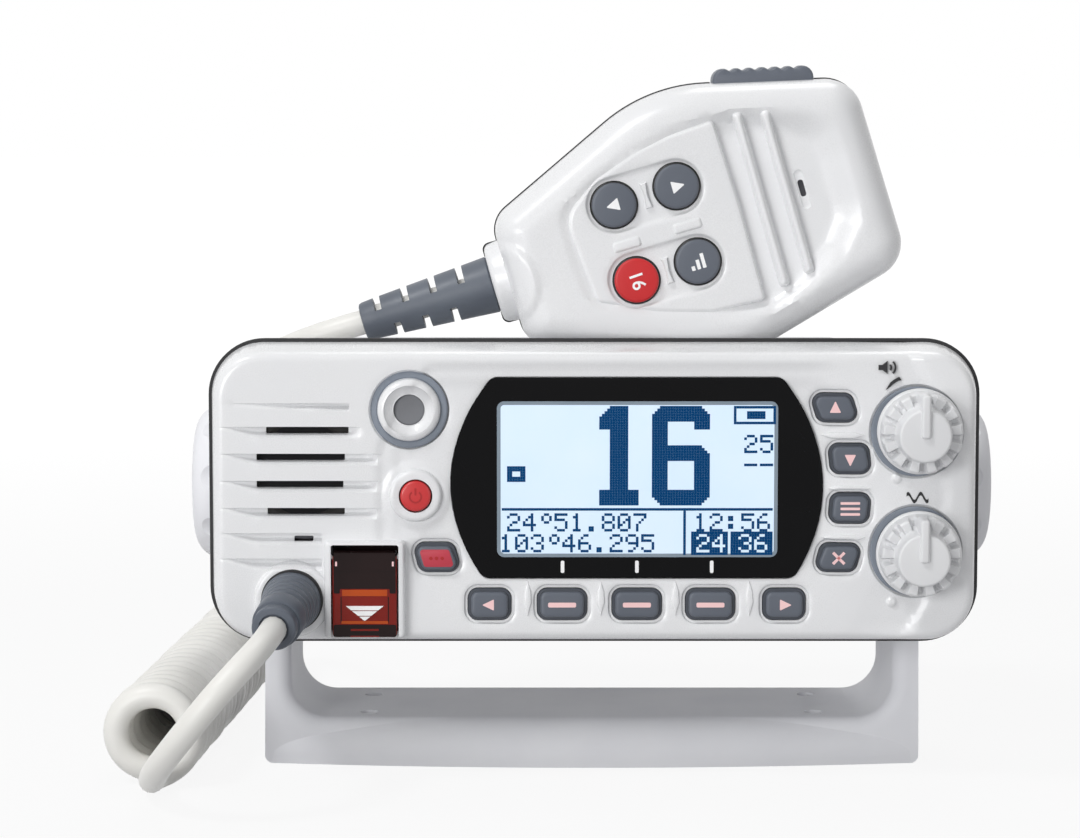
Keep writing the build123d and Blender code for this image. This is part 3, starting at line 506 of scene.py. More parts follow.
# ---- Finishes --------------------
class Sheet:
    """Places and links nodes in one node tree."""

    def __init__(self, tree: bpy.types.NodeTree) -> None:
        """Keeps the tree.

        Args:
            tree: A material's or group's node tree.
        """
        self.tree = tree

    def node(self, kind: str, inputs: dict | None = None, **settings: object) -> bpy.types.Node:
        """Adds a node.

        Args:
            kind: Its Blender type.
            inputs: Input name or number to a value, or to a socket that feeds it.
            settings: Its other properties.
        Returns:
            The node.
        """
        made = self.tree.nodes.new(kind)
        for key, value in settings.items():
            setattr(made, key, value)
        for key, value in (inputs or {}).items():
            if isinstance(value, Socket):
                self.tree.links.new(value, made.inputs[key])
            else:
                made.inputs[key].default_value = value
        return made

    def noise(self, where: Socket, scale: float, detail: float = 3.0) -> Socket:
        """A noise pattern's value, from coordinates and a scale."""
        return self.node("ShaderNodeTexNoise", {"Vector": where, "Scale": scale, "Detail": detail}).outputs[0]

    def spread(self, value: Socket, low: float, high: float, to_low: float,
               to_high: float) -> Socket:
        """A value mapped from one range to another, clamped."""
        return self.node("ShaderNodeMapRange", {"Value": value, "From Min": low, "From Max": high,
                                                "To Min": to_low, "To Max": to_high}).outputs[0]

    def mixed(self, share: Socket, first: object, second: object) -> Socket:
        """Two colours mixed by a share."""
        made = self.node("ShaderNodeMix", {0: share, 6: first, 7: second}, data_type="RGBA")
        return made.outputs[2]

    def maths(self, operation: str, *values: object) -> Socket:
        """The result of one arithmetic step."""
        made = self.node("ShaderNodeMath", dict(enumerate(values)), operation=operation)
        return made.outputs[0]


def blank_sheet(owner: bpy.types.ID) -> Sheet:
    """Gives a material or a world an empty node tree.

    Args:
        owner: The material or world.
    Returns:
        The tree's sheet.
    """
    owner.use_nodes = True
    owner.node_tree.nodes.clear()
    return Sheet(owner.node_tree)


def shader_group(name: str, inputs: dict[str, float],
                 outputs: Sequence[str]) -> tuple[bpy.types.NodeTree, Sheet, bpy.types.Node, bpy.types.Node]:
    """An empty shader group with its sockets.

    Args:
        name: The group's name.
        inputs: Each number input and its usual value.
        outputs: The number outputs.
    Returns:
        The tree, its sheet, and its input and output nodes.
    """
    tree = bpy.data.node_groups.new(name, "ShaderNodeTree")
    for label, value in inputs.items():
        socket = tree.interface.new_socket(label, in_out="INPUT", socket_type="NodeSocketFloat")
        socket.default_value = value
    for label in outputs:
        tree.interface.new_socket(label, in_out="OUTPUT", socket_type="NodeSocketFloat")
    sheet = Sheet(tree)
    return tree, sheet, sheet.node("NodeGroupInput"), sheet.node("NodeGroupOutput")


def build_moulded_skin() -> bpy.types.NodeTree:
    """Skin of a moulding or casting: fine grain, slow waves and a soft tint.

    Returns:
        The group, with Grain and Waves scales in, and Height, Tint and Sheen out.
    """
    tree, sheet, given, result = shader_group("moulded_skin", {"Grain": 4000.0, "Waves": 60.0},
                                              ("Height", "Tint", "Sheen"))
    where = sheet.node("ShaderNodeTexCoord").outputs["Object"]
    grain = sheet.noise(where, given.outputs["Grain"], 2.0)
    waves = sheet.noise(where, given.outputs["Waves"], 3.0)
    height = sheet.maths("ADD", sheet.maths("MULTIPLY", grain, 0.35), sheet.maths("MULTIPLY", waves, 0.65))
    tree.links.new(height, result.inputs["Height"])
    tree.links.new(sheet.spread(waves, 0.35, 0.7, 0.0, 1.0), result.inputs["Tint"])
    sheen = sheet.maths("MULTIPLY", sheet.maths("ADD", grain, waves), 0.5)
    tree.links.new(sheen, result.inputs["Sheen"])
    return tree


def build_light_scuffs() -> bpy.types.NodeTree:
    """Sparse hairline scuffs from handling.

    Returns:
        The group, with Density in and Mask out.
    """
    tree, sheet, given, result = shader_group("light_scuffs", {"Density": 0.3}, ("Mask",))
    where = sheet.node("ShaderNodeTexCoord").outputs["Object"]
    masks = []
    for turn, scale in ((0.4, (30.0, 900.0, 60.0)), (1.3, (700.0, 40.0, 500.0))):
        stretched = sheet.node("ShaderNodeMapping", {"Vector": where, "Rotation": (turn, turn / 2, turn),
                                                     "Scale": scale}).outputs[0]
        lines = sheet.noise(stretched, 1.0, 2.0)
        masks.append(sheet.spread(lines, 0.66, 0.74, 0.0, 1.0))
    patches = sheet.spread(sheet.noise(where, 25.0, 1.0), 0.45, 0.65, 0.0, 1.0)
    either = sheet.maths("MAXIMUM", masks[0], masks[1])
    mask = sheet.maths("MULTIPLY", sheet.maths("MULTIPLY", either, patches), given.outputs["Density"])
    tree.links.new(mask, result.inputs["Mask"])
    return tree


MOULDED_SKIN = build_moulded_skin()
LIGHT_SCUFFS = build_light_scuffs()


@dataclass(frozen=True)
class Finish:
    """One finish: its two close colours, its roughness range and the depth of its grain."""

    name: str
    colour: Colour
    shade: Colour
    rough: tuple[float, float] = (0.3, 0.42)
    grain: float = 4000.0
    waves: float = 60.0
    depth: float = 0.02
    scuffs: float = 0.25
    metallic: float = 0.0
    coat: float = 0.0
    specular: float = 0.5
    alpha: float = 1.0
    glow: float = 0.0

    def material(self) -> Material:
        """Builds the material.

        Returns:
            The material, the same one each time that a finish is asked for.
        """
        made = bpy.data.materials.get(self.name)
        if made:
            return made
        made = bpy.data.materials.new(self.name)
        sheet = blank_sheet(made)
        skin = sheet.node("ShaderNodeGroup", node_tree=MOULDED_SKIN)
        skin.inputs["Grain"].default_value = self.grain
        skin.inputs["Waves"].default_value = self.waves
        scuffs = sheet.node("ShaderNodeGroup", node_tree=LIGHT_SCUFFS)
        scuffs.inputs["Density"].default_value = self.scuffs
        colour = sheet.mixed(skin.outputs["Tint"], (*self.colour, 1), (*self.shade, 1))
        rough = sheet.spread(skin.outputs["Sheen"], 0.35, 0.65, *self.rough)
        rough = sheet.maths("ADD", rough, sheet.maths("MULTIPLY", scuffs.outputs["Mask"], 0.25))
        bump = sheet.node("ShaderNodeBump", {"Height": skin.outputs["Height"], "Distance": self.depth * MM,
                                             "Strength": 1.0})
        shader = sheet.node("ShaderNodeBsdfPrincipled", {
            "Base Color": colour, "Roughness": rough, "Normal": bump.outputs[0], "Metallic": self.metallic,
            "Coat Weight": self.coat, "Coat Roughness": 0.12, "Specular IOR Level": self.specular,
            "Alpha": self.alpha})
        # Emission: the screen's backlight, and a painted glow on the printed legends.
        if self.glow:
            sheet.tree.links.new(colour, shader.inputs["Emission Color"])
            shader.inputs["Emission Strength"].default_value = self.glow
        out = sheet.node("ShaderNodeOutputMaterial")
        sheet.tree.links.new(shader.outputs[0], out.inputs[0])
        return made


class Paint(Enum):
    """Every finish on the radio."""

    WHITE = Finish("white_gloss_plastic", (0.86, 0.865, 0.875), (0.84, 0.845, 0.86), (0.22, 0.34), coat=0.25,
                   scuffs=0.08)
    BRACKET = Finish("white_bracket_plastic", (0.90, 0.905, 0.935), (0.87, 0.875, 0.91), (0.4, 0.5),
                     scuffs=0.12, specular=0.04)
    CASE = Finish("white_cast_case", (0.82, 0.825, 0.835), (0.79, 0.795, 0.81), (0.4, 0.55), 2200.0, 90.0,
                  0.05)
    KNOB = Finish("white_knob_plastic", (0.80, 0.805, 0.815), (0.77, 0.775, 0.79), (0.3, 0.42), scuffs=0.4)
    SLATE = Finish("slate_key_rubber", (0.115, 0.130, 0.160), (0.098, 0.112, 0.140), (0.38, 0.52), 5200.0,
                   depth=0.03)
    # Darker copy of the key rubber for the web in each key's gap: painted shade.
    SLATE_GAP_SHADE = Finish("slate_key_web_painted_shade", (0.055, 0.062, 0.078), (0.045, 0.052, 0.066), (0.42, 0.55), 5200.0,
                        depth=0.03)
    # Grey of the shaded gaps in the knob and port wells: painted shade.
    WELL_SHADE_GREY = Finish("grey_well_painted_shade", (0.25, 0.28, 0.33), (0.21, 0.24, 0.29), (0.5, 0.62), 3500.0)
    BOOT = Finish("slate_boot_rubber", (0.120, 0.138, 0.168), (0.095, 0.110, 0.138), (0.36, 0.5), 3200.0,
                  depth=0.05, scuffs=0.5)
    BLACK = Finish("black_seal_rubber", (0.010, 0.010, 0.012), (0.006, 0.006, 0.007), (0.5, 0.65), 3000.0)
    CLOTH = Finish("speaker_cloth", (0.004, 0.004, 0.005), (0.008, 0.008, 0.010), (0.85, 0.95), 9000.0, 400.0,
                   0.08)
    PLUG = Finish("grey_port_plug", (0.20, 0.205, 0.22), (0.17, 0.175, 0.19), (0.4, 0.55), 3500.0)
    RED = Finish("red_key_plastic", (0.66, 0.020, 0.022), (0.58, 0.014, 0.016), (0.26, 0.38), coat=0.3)
    RED_DEEP = Finish("red_legend", (0.44, 0.008, 0.010), (0.40, 0.006, 0.008), (0.35, 0.45))
    ROSE = Finish("rose_inset", (0.56, 0.045, 0.075), (0.50, 0.035, 0.060), (0.35, 0.5))
    # Print colours with a faint glow of their own: painted light.
    LEGEND_PINK_PAINTED_GLOW = Finish("pale_pink_legend_painted_glow", (0.90, 0.60, 0.60), (0.86, 0.56, 0.56), (0.4, 0.5), glow=0.12)
    LEGEND_WHITE_PAINTED_GLOW = Finish("white_legend_painted_glow", (0.92, 0.92, 0.92), (0.88, 0.88, 0.89), (0.4, 0.5), glow=0.1)
    # Black for printed marks, and painted shade on the feet of the microphone keys.
    INK = Finish("black_ink_and_painted_shade", (0.008, 0.008, 0.010), (0.012, 0.012, 0.014), (0.4, 0.5))
    CORD = Finish("cream_cord_jacket", (0.86, 0.85, 0.815), (0.82, 0.812, 0.775), (0.32, 0.45), 2500.0, 45.0,
                  0.04, 0.4)
    LENS = Finish("black_lens", (0.0028, 0.0028, 0.0034), (0.0022, 0.0022, 0.0028), (0.05, 0.09), depth=0.002,
                  scuffs=0.12, specular=0.1)
    STEEL = Finish("brushed_stainless", (0.55, 0.55, 0.56), (0.48, 0.48, 0.49), (0.25, 0.4), 3000.0,
                   metallic=1.0)
    NICKEL = Finish("nickel_plate", (0.66, 0.64, 0.60), (0.60, 0.58, 0.54), (0.15, 0.28), metallic=1.0)
    BRASS = Finish("turned_brass", (0.62, 0.45, 0.18), (0.55, 0.39, 0.15), (0.25, 0.4), metallic=1.0)
    TIN = Finish("tinned_sheet", (0.56, 0.56, 0.56), (0.50, 0.50, 0.50), (0.35, 0.5), metallic=1.0)
    BOARD = Finish("green_board", (0.012, 0.085, 0.035), (0.010, 0.070, 0.030), (0.3, 0.45), 2500.0)
    DARK = Finish("dark_plastic", (0.022, 0.023, 0.026), (0.018, 0.019, 0.021), (0.4, 0.55))
    RED_RUBBER = Finish("red_key_rubber", (0.64, 0.018, 0.022), (0.56, 0.012, 0.015), (0.34, 0.46), 5200.0,
                        depth=0.03)
    # The flap's clear red, and darker and brighter copies of it that paint shade and light on the flap.
    FLAP = Finish("clear_red_plastic", (0.27, 0.018, 0.011), (0.19, 0.011, 0.008), (0.12, 0.2), specular=0.2,
                  alpha=0.95)
    FLAP_PAINTED_SHADE = Finish("red_plastic_painted_shade", (0.020, 0.010, 0.010), (0.013, 0.007, 0.007), (0.15, 0.25),
                       specular=0.15)
    FLAP_PAINTED_LIGHT = Finish("red_plastic_painted_light", (0.55, 0.085, 0.012), (0.38, 0.045, 0.010), (0.12, 0.2),
                         specular=0.2)
    SCREEN = Finish("lit_screen_blue", (0.62, 0.755, 0.875), (0.66, 0.785, 0.895), (0.3, 0.4), depth=0.002,
                    scuffs=0.0, specular=0.1, glow=0.32)
    # Grey of the painted shade round the screen's edge.
    SCREEN_EDGE_SHADE = Finish("screen_edge_shade", (0.22, 0.28, 0.34), (0.26, 0.32, 0.38), (0.4, 0.5), depth=0.002)
    LCD_INK = Finish("lit_screen_ink", (0.0016, 0.062, 0.195), (0.0014, 0.056, 0.180), (0.4, 0.5),
                     depth=0.002, scuffs=0.0, specular=0.08)
    CONE = Finish("speaker_paper", (0.030, 0.028, 0.026), (0.022, 0.021, 0.020), (0.8, 0.9), 6000.0,
                  depth=0.1)
    SILICONE = Finish("grey_silicone", (0.16, 0.165, 0.175), (0.14, 0.145, 0.155), (0.5, 0.6))

    @property
    def material(self) -> Material:
        """The finish's material."""
        return self.value.material()


CAD_PAINT: dict[Paint, tuple[str, ...]] = {
    Paint.WHITE: ("front_panel", "mic_front_shell", "mic_rear_shell"),
    Paint.BRACKET: ("bracket", "gimbal_knob_left", "gimbal_knob_right"),
    Paint.CASE: ("chassis",),
    Paint.KNOB: ("vol_knob", "sql_knob"),
    Paint.SLATE: ("ptt_button", "mic_key_left", "mic_key_right", "mic_key_level", "key_left", "key_soft_1",
                  "key_soft_2", "key_soft_3", "key_right", "key_up", "key_down", "key_menu", "key_clear",
                  "key_channel"),
    Paint.PLUG: ("port_plug",),
    Paint.RED: ("key_power", "mic_key_channel", "distress_button", "distress_cover"),
    Paint.BOOT: ("panel_boot", "mic_boot"),
    Paint.BLACK: ("front_gasket", "boot_seal", "mic_gasket", "friction_washers", "rear_glands"),
    Paint.CORD: ("cord_coil", "cord_front_lead", "cord_riser", "cord_mic_lead"),
    Paint.LENS: ("display_window", "lcd_module"),
    Paint.SILICONE: ("keypad_mat",),
    Paint.BOARD: ("front_board", "main_board", "mic_board"),
    Paint.TIN: ("shield_can",),
    Paint.STEEL: ("gimbal_stud_left", "gimbal_stud_right", "chassis_screws", "distress_hinge_pin",
                  "mic_screws", "vol_shaft", "sql_shaft"),
    Paint.BRASS: ("thread_inserts",),
    Paint.NICKEL: ("antenna_socket",),
    Paint.DARK: ("rotary_pots", "mic_capsule", "mic_hang_button", "speaker"),
    Paint.CONE: ("speaker_cone",),
}


def dress_frame() -> None:
    """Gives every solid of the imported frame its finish."""
    for paint, names in CAD_PAINT.items():
        for name in names:
            node = frame["nodes"][name]
            for slot in node.material_slots:
                slot.material = paint.material
            LOG.info("%s: %s", name, paint.value.name)


# ---- Moulded faces --------------------
def eased(value: np.ndarray | float) -> np.ndarray:
    """Soft step from 0 to 1, clamped."""
    share = np.clip(value, 0.0, 1.0)
    return share * share * (3 - 2 * share)


def slope(start: float, stop: float, low: float, high: float, steps: int = 6) -> tuple[Point2, ...]:
    """Points of an S-shaped slope.

    Args:
        start: Distance from the outline where it begins.
        stop: Distance where it ends.
        low: Value at the start.
        high: Value at the end.
        steps: How many runs it has.
    Returns:
        The (distance, value) points.
    """
    shares = [i / steps for i in range(steps + 1)]
    return tuple((start + (stop - start) * s, low + (high - low) * float(eased(s))) for s in shares)


def lip(radius: float, height: float, outside: bool = True, steps: int = 5) -> tuple[Point2, ...]:
    """A quarter-round lip that falls from a height to the surface around it.

    Args:
        radius: The lip's rounding.
        height: Its height over the surface.
        outside: Whether its foot is on the outline, and not its rounding's start.
        steps: How many runs the rounding has.
    Returns:
        The (distance, value) points.
    """
    turns = [math.pi / 2 * i / steps for i in range(steps + 1)]
    shift = -radius - 0.12 if outside else 0.0
    round_off = [(shift + radius * math.sin(a), height - radius * (1 - math.cos(a))) for a in turns]
    return (*round_off, (shift + radius + 0.12, 0.0))


@dataclass
class Feature:
    """Something raised from a face or pressed into it.

    The profile gives values at distances from the outline, negative inside it. They are added to
    the face's rise, or with a level they are the share of that level.
    """

    outline: list[Point2]
    profile: tuple[Point2, ...]
    level: float | None = None

    def loops(self, spacing: float) -> list[list[Point2]]:
        """One closed line for each distance of the profile."""
        return [resampled(grown(self.outline, distance), spacing) for distance, _ in self.profile]

    def apply(self, x: np.ndarray, z: np.ndarray, rise: np.ndarray) -> None:
        """Changes the rise of the points that it reaches.

        Args:
            x: Points' first coordinates.
            z: Points' second coordinates.
            rise: Their rise, changed in place.
        """
        reach = self.profile[-1][0] + 0.1
        across, up = zip(*self.outline)
        near = ((x > min(across) - reach) & (x < max(across) + reach) & (z > min(up) - reach)
                & (z < max(up) + reach))
        distance = signed_distance(self.outline, x[near], z[near])
        value = np.interp(distance, *zip(*self.profile))
        rise[near] += value if self.level is None else (self.level - rise[near]) * value


@dataclass
class Relief:
    """A moulded plate: an outline, a rounded edge, features and through holes."""

    facing: Facing
    outline: list[Point2]
    edge: tuple[Point2, ...]
    ground: Callable[[np.ndarray, np.ndarray], np.ndarray]
    features: list[Feature]
    holes: list[list[Point2]]
    lines: list[list[Point2]]
    rim: tuple[float, float]
    floor: float
    wall: float = 1.0
    spacing: float = 1.1

    def grid(self, taken: list[Point2]) -> list[Point2]:
        """Evenly spread points that keep clear of the drawn lines.

        Args:
            taken: Points of the drawn lines.
        Returns:
            The other points.
        """
        tree = KDTree(len(taken))
        for number, (x, z) in enumerate(taken):
            tree.insert((x, z, 0), number)
        tree.balance()
        across, up = zip(*self.outline)
        free: list[Point2] = []
        for row in range(int((max(up) - min(up)) / self.spacing)):
            for column in range(int((max(across) - min(across)) / self.spacing)):
                x = min(across) + (column + 0.5 + 0.25 * (row % 2)) * self.spacing
                z = min(up) + (row + 0.5) * self.spacing
                if tree.find((x, z, 0))[2] > 0.5 * self.spacing:
                    free.append((x, z))
        return free

    def triangles(self) -> tuple[np.ndarray, np.ndarray]:
        """The plate's plan, cut into triangles along every line.

        Returns:
            Its points and its triangles.
        """
        loops = [self.outline, *(resampled(grown(self.outline, -inset), 1.2) for inset, _ in self.edge[1:])]
        for feature in self.features:
            loops += feature.loops(self.spacing)
        loops += self.holes
        points: list[Point2] = []
        edges: list[tuple[int, int]] = []
        for loop in loops:
            edges += [(len(points) + i, len(points) + (i + 1) % len(loop)) for i in range(len(loop))]
            points += loop
        for line in self.lines:
            edges += [(len(points) + i, len(points) + i + 1) for i in range(len(line) - 1)]
            points += line
        points += self.grid(points)
        plan = delaunay_2d_cdt([Vector(point) for point in points], edges, [], 0, 1e-4)
        spots = np.array([tuple(spot) for spot in plan[0]])
        faces = np.array([face for face in plan[2] if len(face) == 3])
        middles = spots[faces].mean(axis=1)
        keep = signed_distance(self.outline, middles[:, 0], middles[:, 1]) < 0
        for hole in self.holes:
            across, up = zip(*hole)
            near = ((middles[:, 0] > min(across)) & (middles[:, 0] < max(across)) & (middles[:, 1] > min(up))
                    & (middles[:, 1] < max(up)))
            keep[near] &= signed_distance(hole, middles[near, 0], middles[near, 1]) > 0
        faces = faces[keep]
        used, renumbered = np.unique(faces, return_inverse=True)
        return spots[used], renumbered.reshape(faces.shape)

    def rises(self, spots: np.ndarray) -> tuple[np.ndarray, np.ndarray]:
        """How far the front and the back of each point stand proud of the plane.

        Args:
            spots: The plan's points.
        Returns:
            The front's and the back's rise.
        """
        x, z = spots[:, 0], spots[:, 1]
        inset = -signed_distance(self.outline, x, z)
        front = self.ground(x, z) + np.interp(inset, *zip(*self.edge))
        for feature in self.features:
            feature.apply(x, z, front)
        width, rim = self.rim
        thick = np.where(inset < 0.05, 0.2, self.wall)
        back = np.minimum(np.where(inset < width, rim, self.floor), front - thick)
        return front, np.where(inset < width, np.maximum(back, rim), back)

    def add_to(self, skin: Skin, finish: Paint) -> None:
        """Adds the closed plate to a skin.

        Args:
            skin: Where its faces go.
            finish: Its paint.
        """
        spots, faces = self.triangles()
        front, back = self.rises(spots)
        count = len(spots)
        points = [self.facing.point(x, z, rise) for (x, z), rise in zip(spots.tolist(), front.tolist())]
        points += [self.facing.point(x, z, rise) for (x, z), rise in zip(spots.tolist(), back.tolist())]
        shell = faces.tolist() + (faces[:, ::-1] + count).tolist()
        sides: dict[tuple[int, int], tuple[int, int]] = {}
        for a, b, c in faces.tolist():
            for start, stop in ((a, b), (b, c), (c, a)):
                if (stop, start) in sides:
                    del sides[(stop, start)]
                else:
                    sides[(start, stop)] = (start, stop)
        shell += [[stop, start, start + count, stop + count] for start, stop in sides]
        skin.add(points, shell, finish)


# ---- Cord --------------------
def spline_points(name: str, points: Sequence[Point3], steps: int) -> tuple[bpy.types.Object, list[Point3]]:
    """A smooth open curve through a route, and the points along it.

    Args:
        name: The curve's name.
        points: The route, in millimetres.
        steps: Subdivisions between two of its points.
    Returns:
        The curve object and its points in metres.
    """
    data = bpy.data.curves.new(name, "CURVE")
    data.dimensions = "3D"
    data.resolution_u = steps
    line = data.splines.new("NURBS")
    line.points.add(len(points) - 1)
    for spot, (x, y, z) in zip(line.points, points):
        spot.co = (x * MM, y * MM, z * MM, 1.0)
    line.order_u = 3
    line.use_endpoint_u = True
    curve = placed(name, data)
    plain = bpy.data.meshes.new_from_object(curve)
    path = [tuple(vertex.co) for vertex in plain.vertices]
    bpy.data.meshes.remove(plain)
    return curve, path


@dataclass
class Cord:
    """The one curly cord, in a long piece with the coil and a short piece at the microphone."""

    radius: float = 3.1
    wire_radius: float = 9.1
    pitch: float = 6.32
    turns: float = 26.4
    turn_points: int = 14
    coil_start: Point3 = (-104.7, -50.2, 12.2)
    coil_way: Point3 = (0.0695, 0.9976, 0.0)
    front_lead: tuple[Point3, ...] = (
        (-73.7, -75.0, 41.9), (-74.78, -84.4, 40.58), (-78.9, -92.4, 36.8), (-85.0, -95.8, 30.4),
        (-91.0, -94.8, 23.0), (-96.2, -90.0, 16.2), (-99.9, -82.4, 10.8), (-102.0, -73.2, 7.2),
        (-103.2, -64.4, 4.6), (-103.9, -57.6, 3.5), (-103.2, -53.2, 3.2))
    riser: tuple[Point3, ...] = (
        (-84.8, 113.6, 18.6), (-84.2, 107.6, 26.2), (-83.6, 98.6, 31.4), (-83.0, 87.6, 35.8),
        (-82.4, 76.0, 40.8), (-81.6, 64.8, 47.4), (-81.0, 54.2, 55.8), (-81.0, 44.4, 65.6),
        (-81.4, 35.2, 76.4))
    mic_lead: tuple[Point3, ...] = (
        (-81.4, 35.2, 76.4), (-81.68, 28.76, 83.96), (-82.1, 20.8, 90.2), (-82.0, 12.2, 94.6),
        (-80.7, 3.6, 97.4), (-77.5, -4.3, 99.8), (-71.8, -10.2, 102.6))
    boot_lead: float = -82.6

    def helix(self) -> list[Point3]:
        """The coil's own points, from its front turn to its back one.

        Returns:
            The points, a few of them a little uneven.
        """
        points: list[Point3] = []
        bulge = self.wire_radius / (0.75 + 0.25 * math.cos(math.tau / self.turn_points))
        for step in range(1, round(self.turns * self.turn_points) + 1):
            angle = math.tau * step / self.turn_points
            along = self.pitch * step / self.turn_points
            reach = bulge * (1 + 0.008 * math.sin(along * 0.21) + 0.006 * math.sin(along * 0.083 + 1))
            lift = 0.10 * math.sin(along * 0.31 + 2)
            points.append((self.coil_start[0] + self.coil_way[0] * along + reach * math.sin(angle) + lift,
                           self.coil_start[1] + self.coil_way[1] * along,
                           self.coil_start[2] - reach * math.cos(angle) + abs(reach - bulge)))
        return points

    def tube(self, name: str, route: Sequence[Point3], steps: int) -> tuple[bpy.types.Object, list[Point3]]:
        """A closed tube along a route.

        Args:
            name: The piece's name.
            route: Its route, in millimetres.
            steps: Subdivisions between two points of the route.
        Returns:
            The tube and the points in metres that it follows.
        """
        curve, path = spline_points(name, route, steps)
        curve.data.bevel_depth = self.radius * MM
        curve.data.bevel_resolution = 5
        curve.data.use_fill_caps = True
        mesh = bpy.data.meshes.new_from_object(curve)
        bpy.data.objects.remove(curve)
        mesh.name = name
        mesh.materials.clear()
        mesh.materials.append(Paint.CORD.material)
        mesh.shade_smooth()
        mesh.set_sharp_from_angle(angle=math.radians(60))
        return placed(name, mesh), path

    def build(self) -> None:
        route = [*self.front_lead, *self.helix(), *self.riser]
        long_cord, path = self.tube("cord_with_coil", route, 4)
        length = sum(math.dist(a, b) for a, b in zip(path, path[1:]))
        way = Vector((0.5, -0.08, 0.862))
        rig.blend(long_cord, "bracket", "radio", start=way * -0.0253, end=way * -0.0007)
        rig.replaces(long_cord, "cord_front_lead", "cord_coil", "cord_riser")
        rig.slot(long_cord, "cord_jacket")
        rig.cord(long_cord, exit=path[0], length=length, diameter=2 * self.radius * MM, far_end="object",
                stiffness="limp", lay="coiled", path=path)
        LOG.info("cord with coil: %.3f m", length)
        ends = [MIC_SEAM.point(along, MIC_BOOT_HEIGHT, 0) for along in (self.boot_lead, MIC_BOOT_TIP)]
        short_cord, path = self.tube("cord_at_microphone", [*self.mic_lead, *ends], 10)
        length = sum(math.dist(a, b) for a, b in zip(path, path[1:]))
        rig.blend(short_cord, "radio", "mic", start=path[0], end=path[-1])
        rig.replaces(short_cord, "cord_mic_lead")
        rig.slot(short_cord, "cord_jacket")
        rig.cord(short_cord, exit=path[0], length=length, diameter=2 * self.radius * MM, far_end="object",
                stiffness="limp", lay="hanging", path=path)
        LOG.info("cord at microphone: %.3f m", length)


# ---- Front panel --------------------
@dataclass(frozen=True)
class KeyShape:
    """A panel key's centre, size and lean, as in the CAD."""

    x: float
    z: float
    width: float
    height: float
    lean: float = 0.0

    def outline(self, grow: float = 0.0, corner: float = 2.2) -> list[Point2]:
        """The key's outline, grown all round.

        Args:
            grow: How far.
            corner: Its corner's radius before that.
        Returns:
            The outline's points.
        """
        half_w, half_h = self.width / 2 + grow, self.height / 2 + grow
        corners = [(self.x + side * half_w + end * self.lean, self.z + end * half_h)
                   for side, end in ((-1, -1), (1, -1), (1, 1), (-1, 1))]
        return rounded(corners, [max(0.3, corner + grow)] * 4)


KEY_SHAPES = {
    "key_left": KeyShape(-24.6, -27.0, 9.8, 7.2),
    "key_soft_1": KeyShape(-7.5, -27.0, 11.4, 7.2),
    "key_soft_2": KeyShape(10.1, -27.0, 11.4, 7.2),
    "key_soft_3": KeyShape(27.4, -27.0, 11.4, 7.2),
    "key_right": KeyShape(44.8, -27.0, 9.8, 7.2),
    "key_up": KeyShape(56.4, 19.5, 9.6, 6.6, -1.1),
    "key_down": KeyShape(60.0, 7.5, 9.3, 7.0, -0.4),
    "key_menu": KeyShape(60.1, -4.2, 9.3, 7.0, 0.3),
    "key_clear": KeyShape(57.5, -15.9, 9.6, 6.6, 1.0),
    "key_channel": KeyShape(-37.0, -15.9, 9.6, 6.7, -1.0),
}
KNOB_CENTRES = {"vol": (76.3, 14.1), "sql": (76.3, -14.8)}
KNOB_SEATS = {"vol": (75.5, 13.9), "sql": (75.5, -14.4)}
PORT = (-43.4, 19.0)
POWER = (-41.9, -1.2)
SOCKET = (-71.0, -25.8)


def bulge(start: Point2, middle: Point2, stop: Point2, count: int = 15) -> list[Point2]:
    """A curved side through three points.

    Args:
        start: Its first point.
        middle: The point halfway.
        stop: Its last point.
        count: How many points it has.
    Returns:
        The points.
    """
    control = (2 * middle[0] - (start[0] + stop[0]) / 2, 2 * middle[1] - (start[1] + stop[1]) / 2)
    return [((1 - t) ** 2 * start[0] + 2 * t * (1 - t) * control[0] + t * t * stop[0],
             (1 - t) ** 2 * start[1] + 2 * t * (1 - t) * control[1] + t * t * stop[1])
            for t in (i / (count - 1) for i in range(count))]


def lens_outline() -> list[Point2]:
    """Display lens: straight top and bottom and bulging sides, anticlockwise.

    Returns:
        The outline's points.
    """
    right = bulge((47.0, -20.9), (53.7, 2.9), (44.0, 26.7))
    left = bulge((-24.0, 26.7), (-33.7, 2.9), (-26.0, -20.9))
    radii = [3.0, *[0.0] * (len(right) - 2), 3.0]
    return rounded(right + left, radii * 2, 6)


def frame_outline(low: Point2, high: Point2, corner: float = 0.5, arc_points: int = 5) -> list[Point2]:
    """A rectangle with rounded corners, anticlockwise."""
    return rounded([low, (high[0], low[1]), high, (low[0], high[1])], [corner] * 4, arc_points)


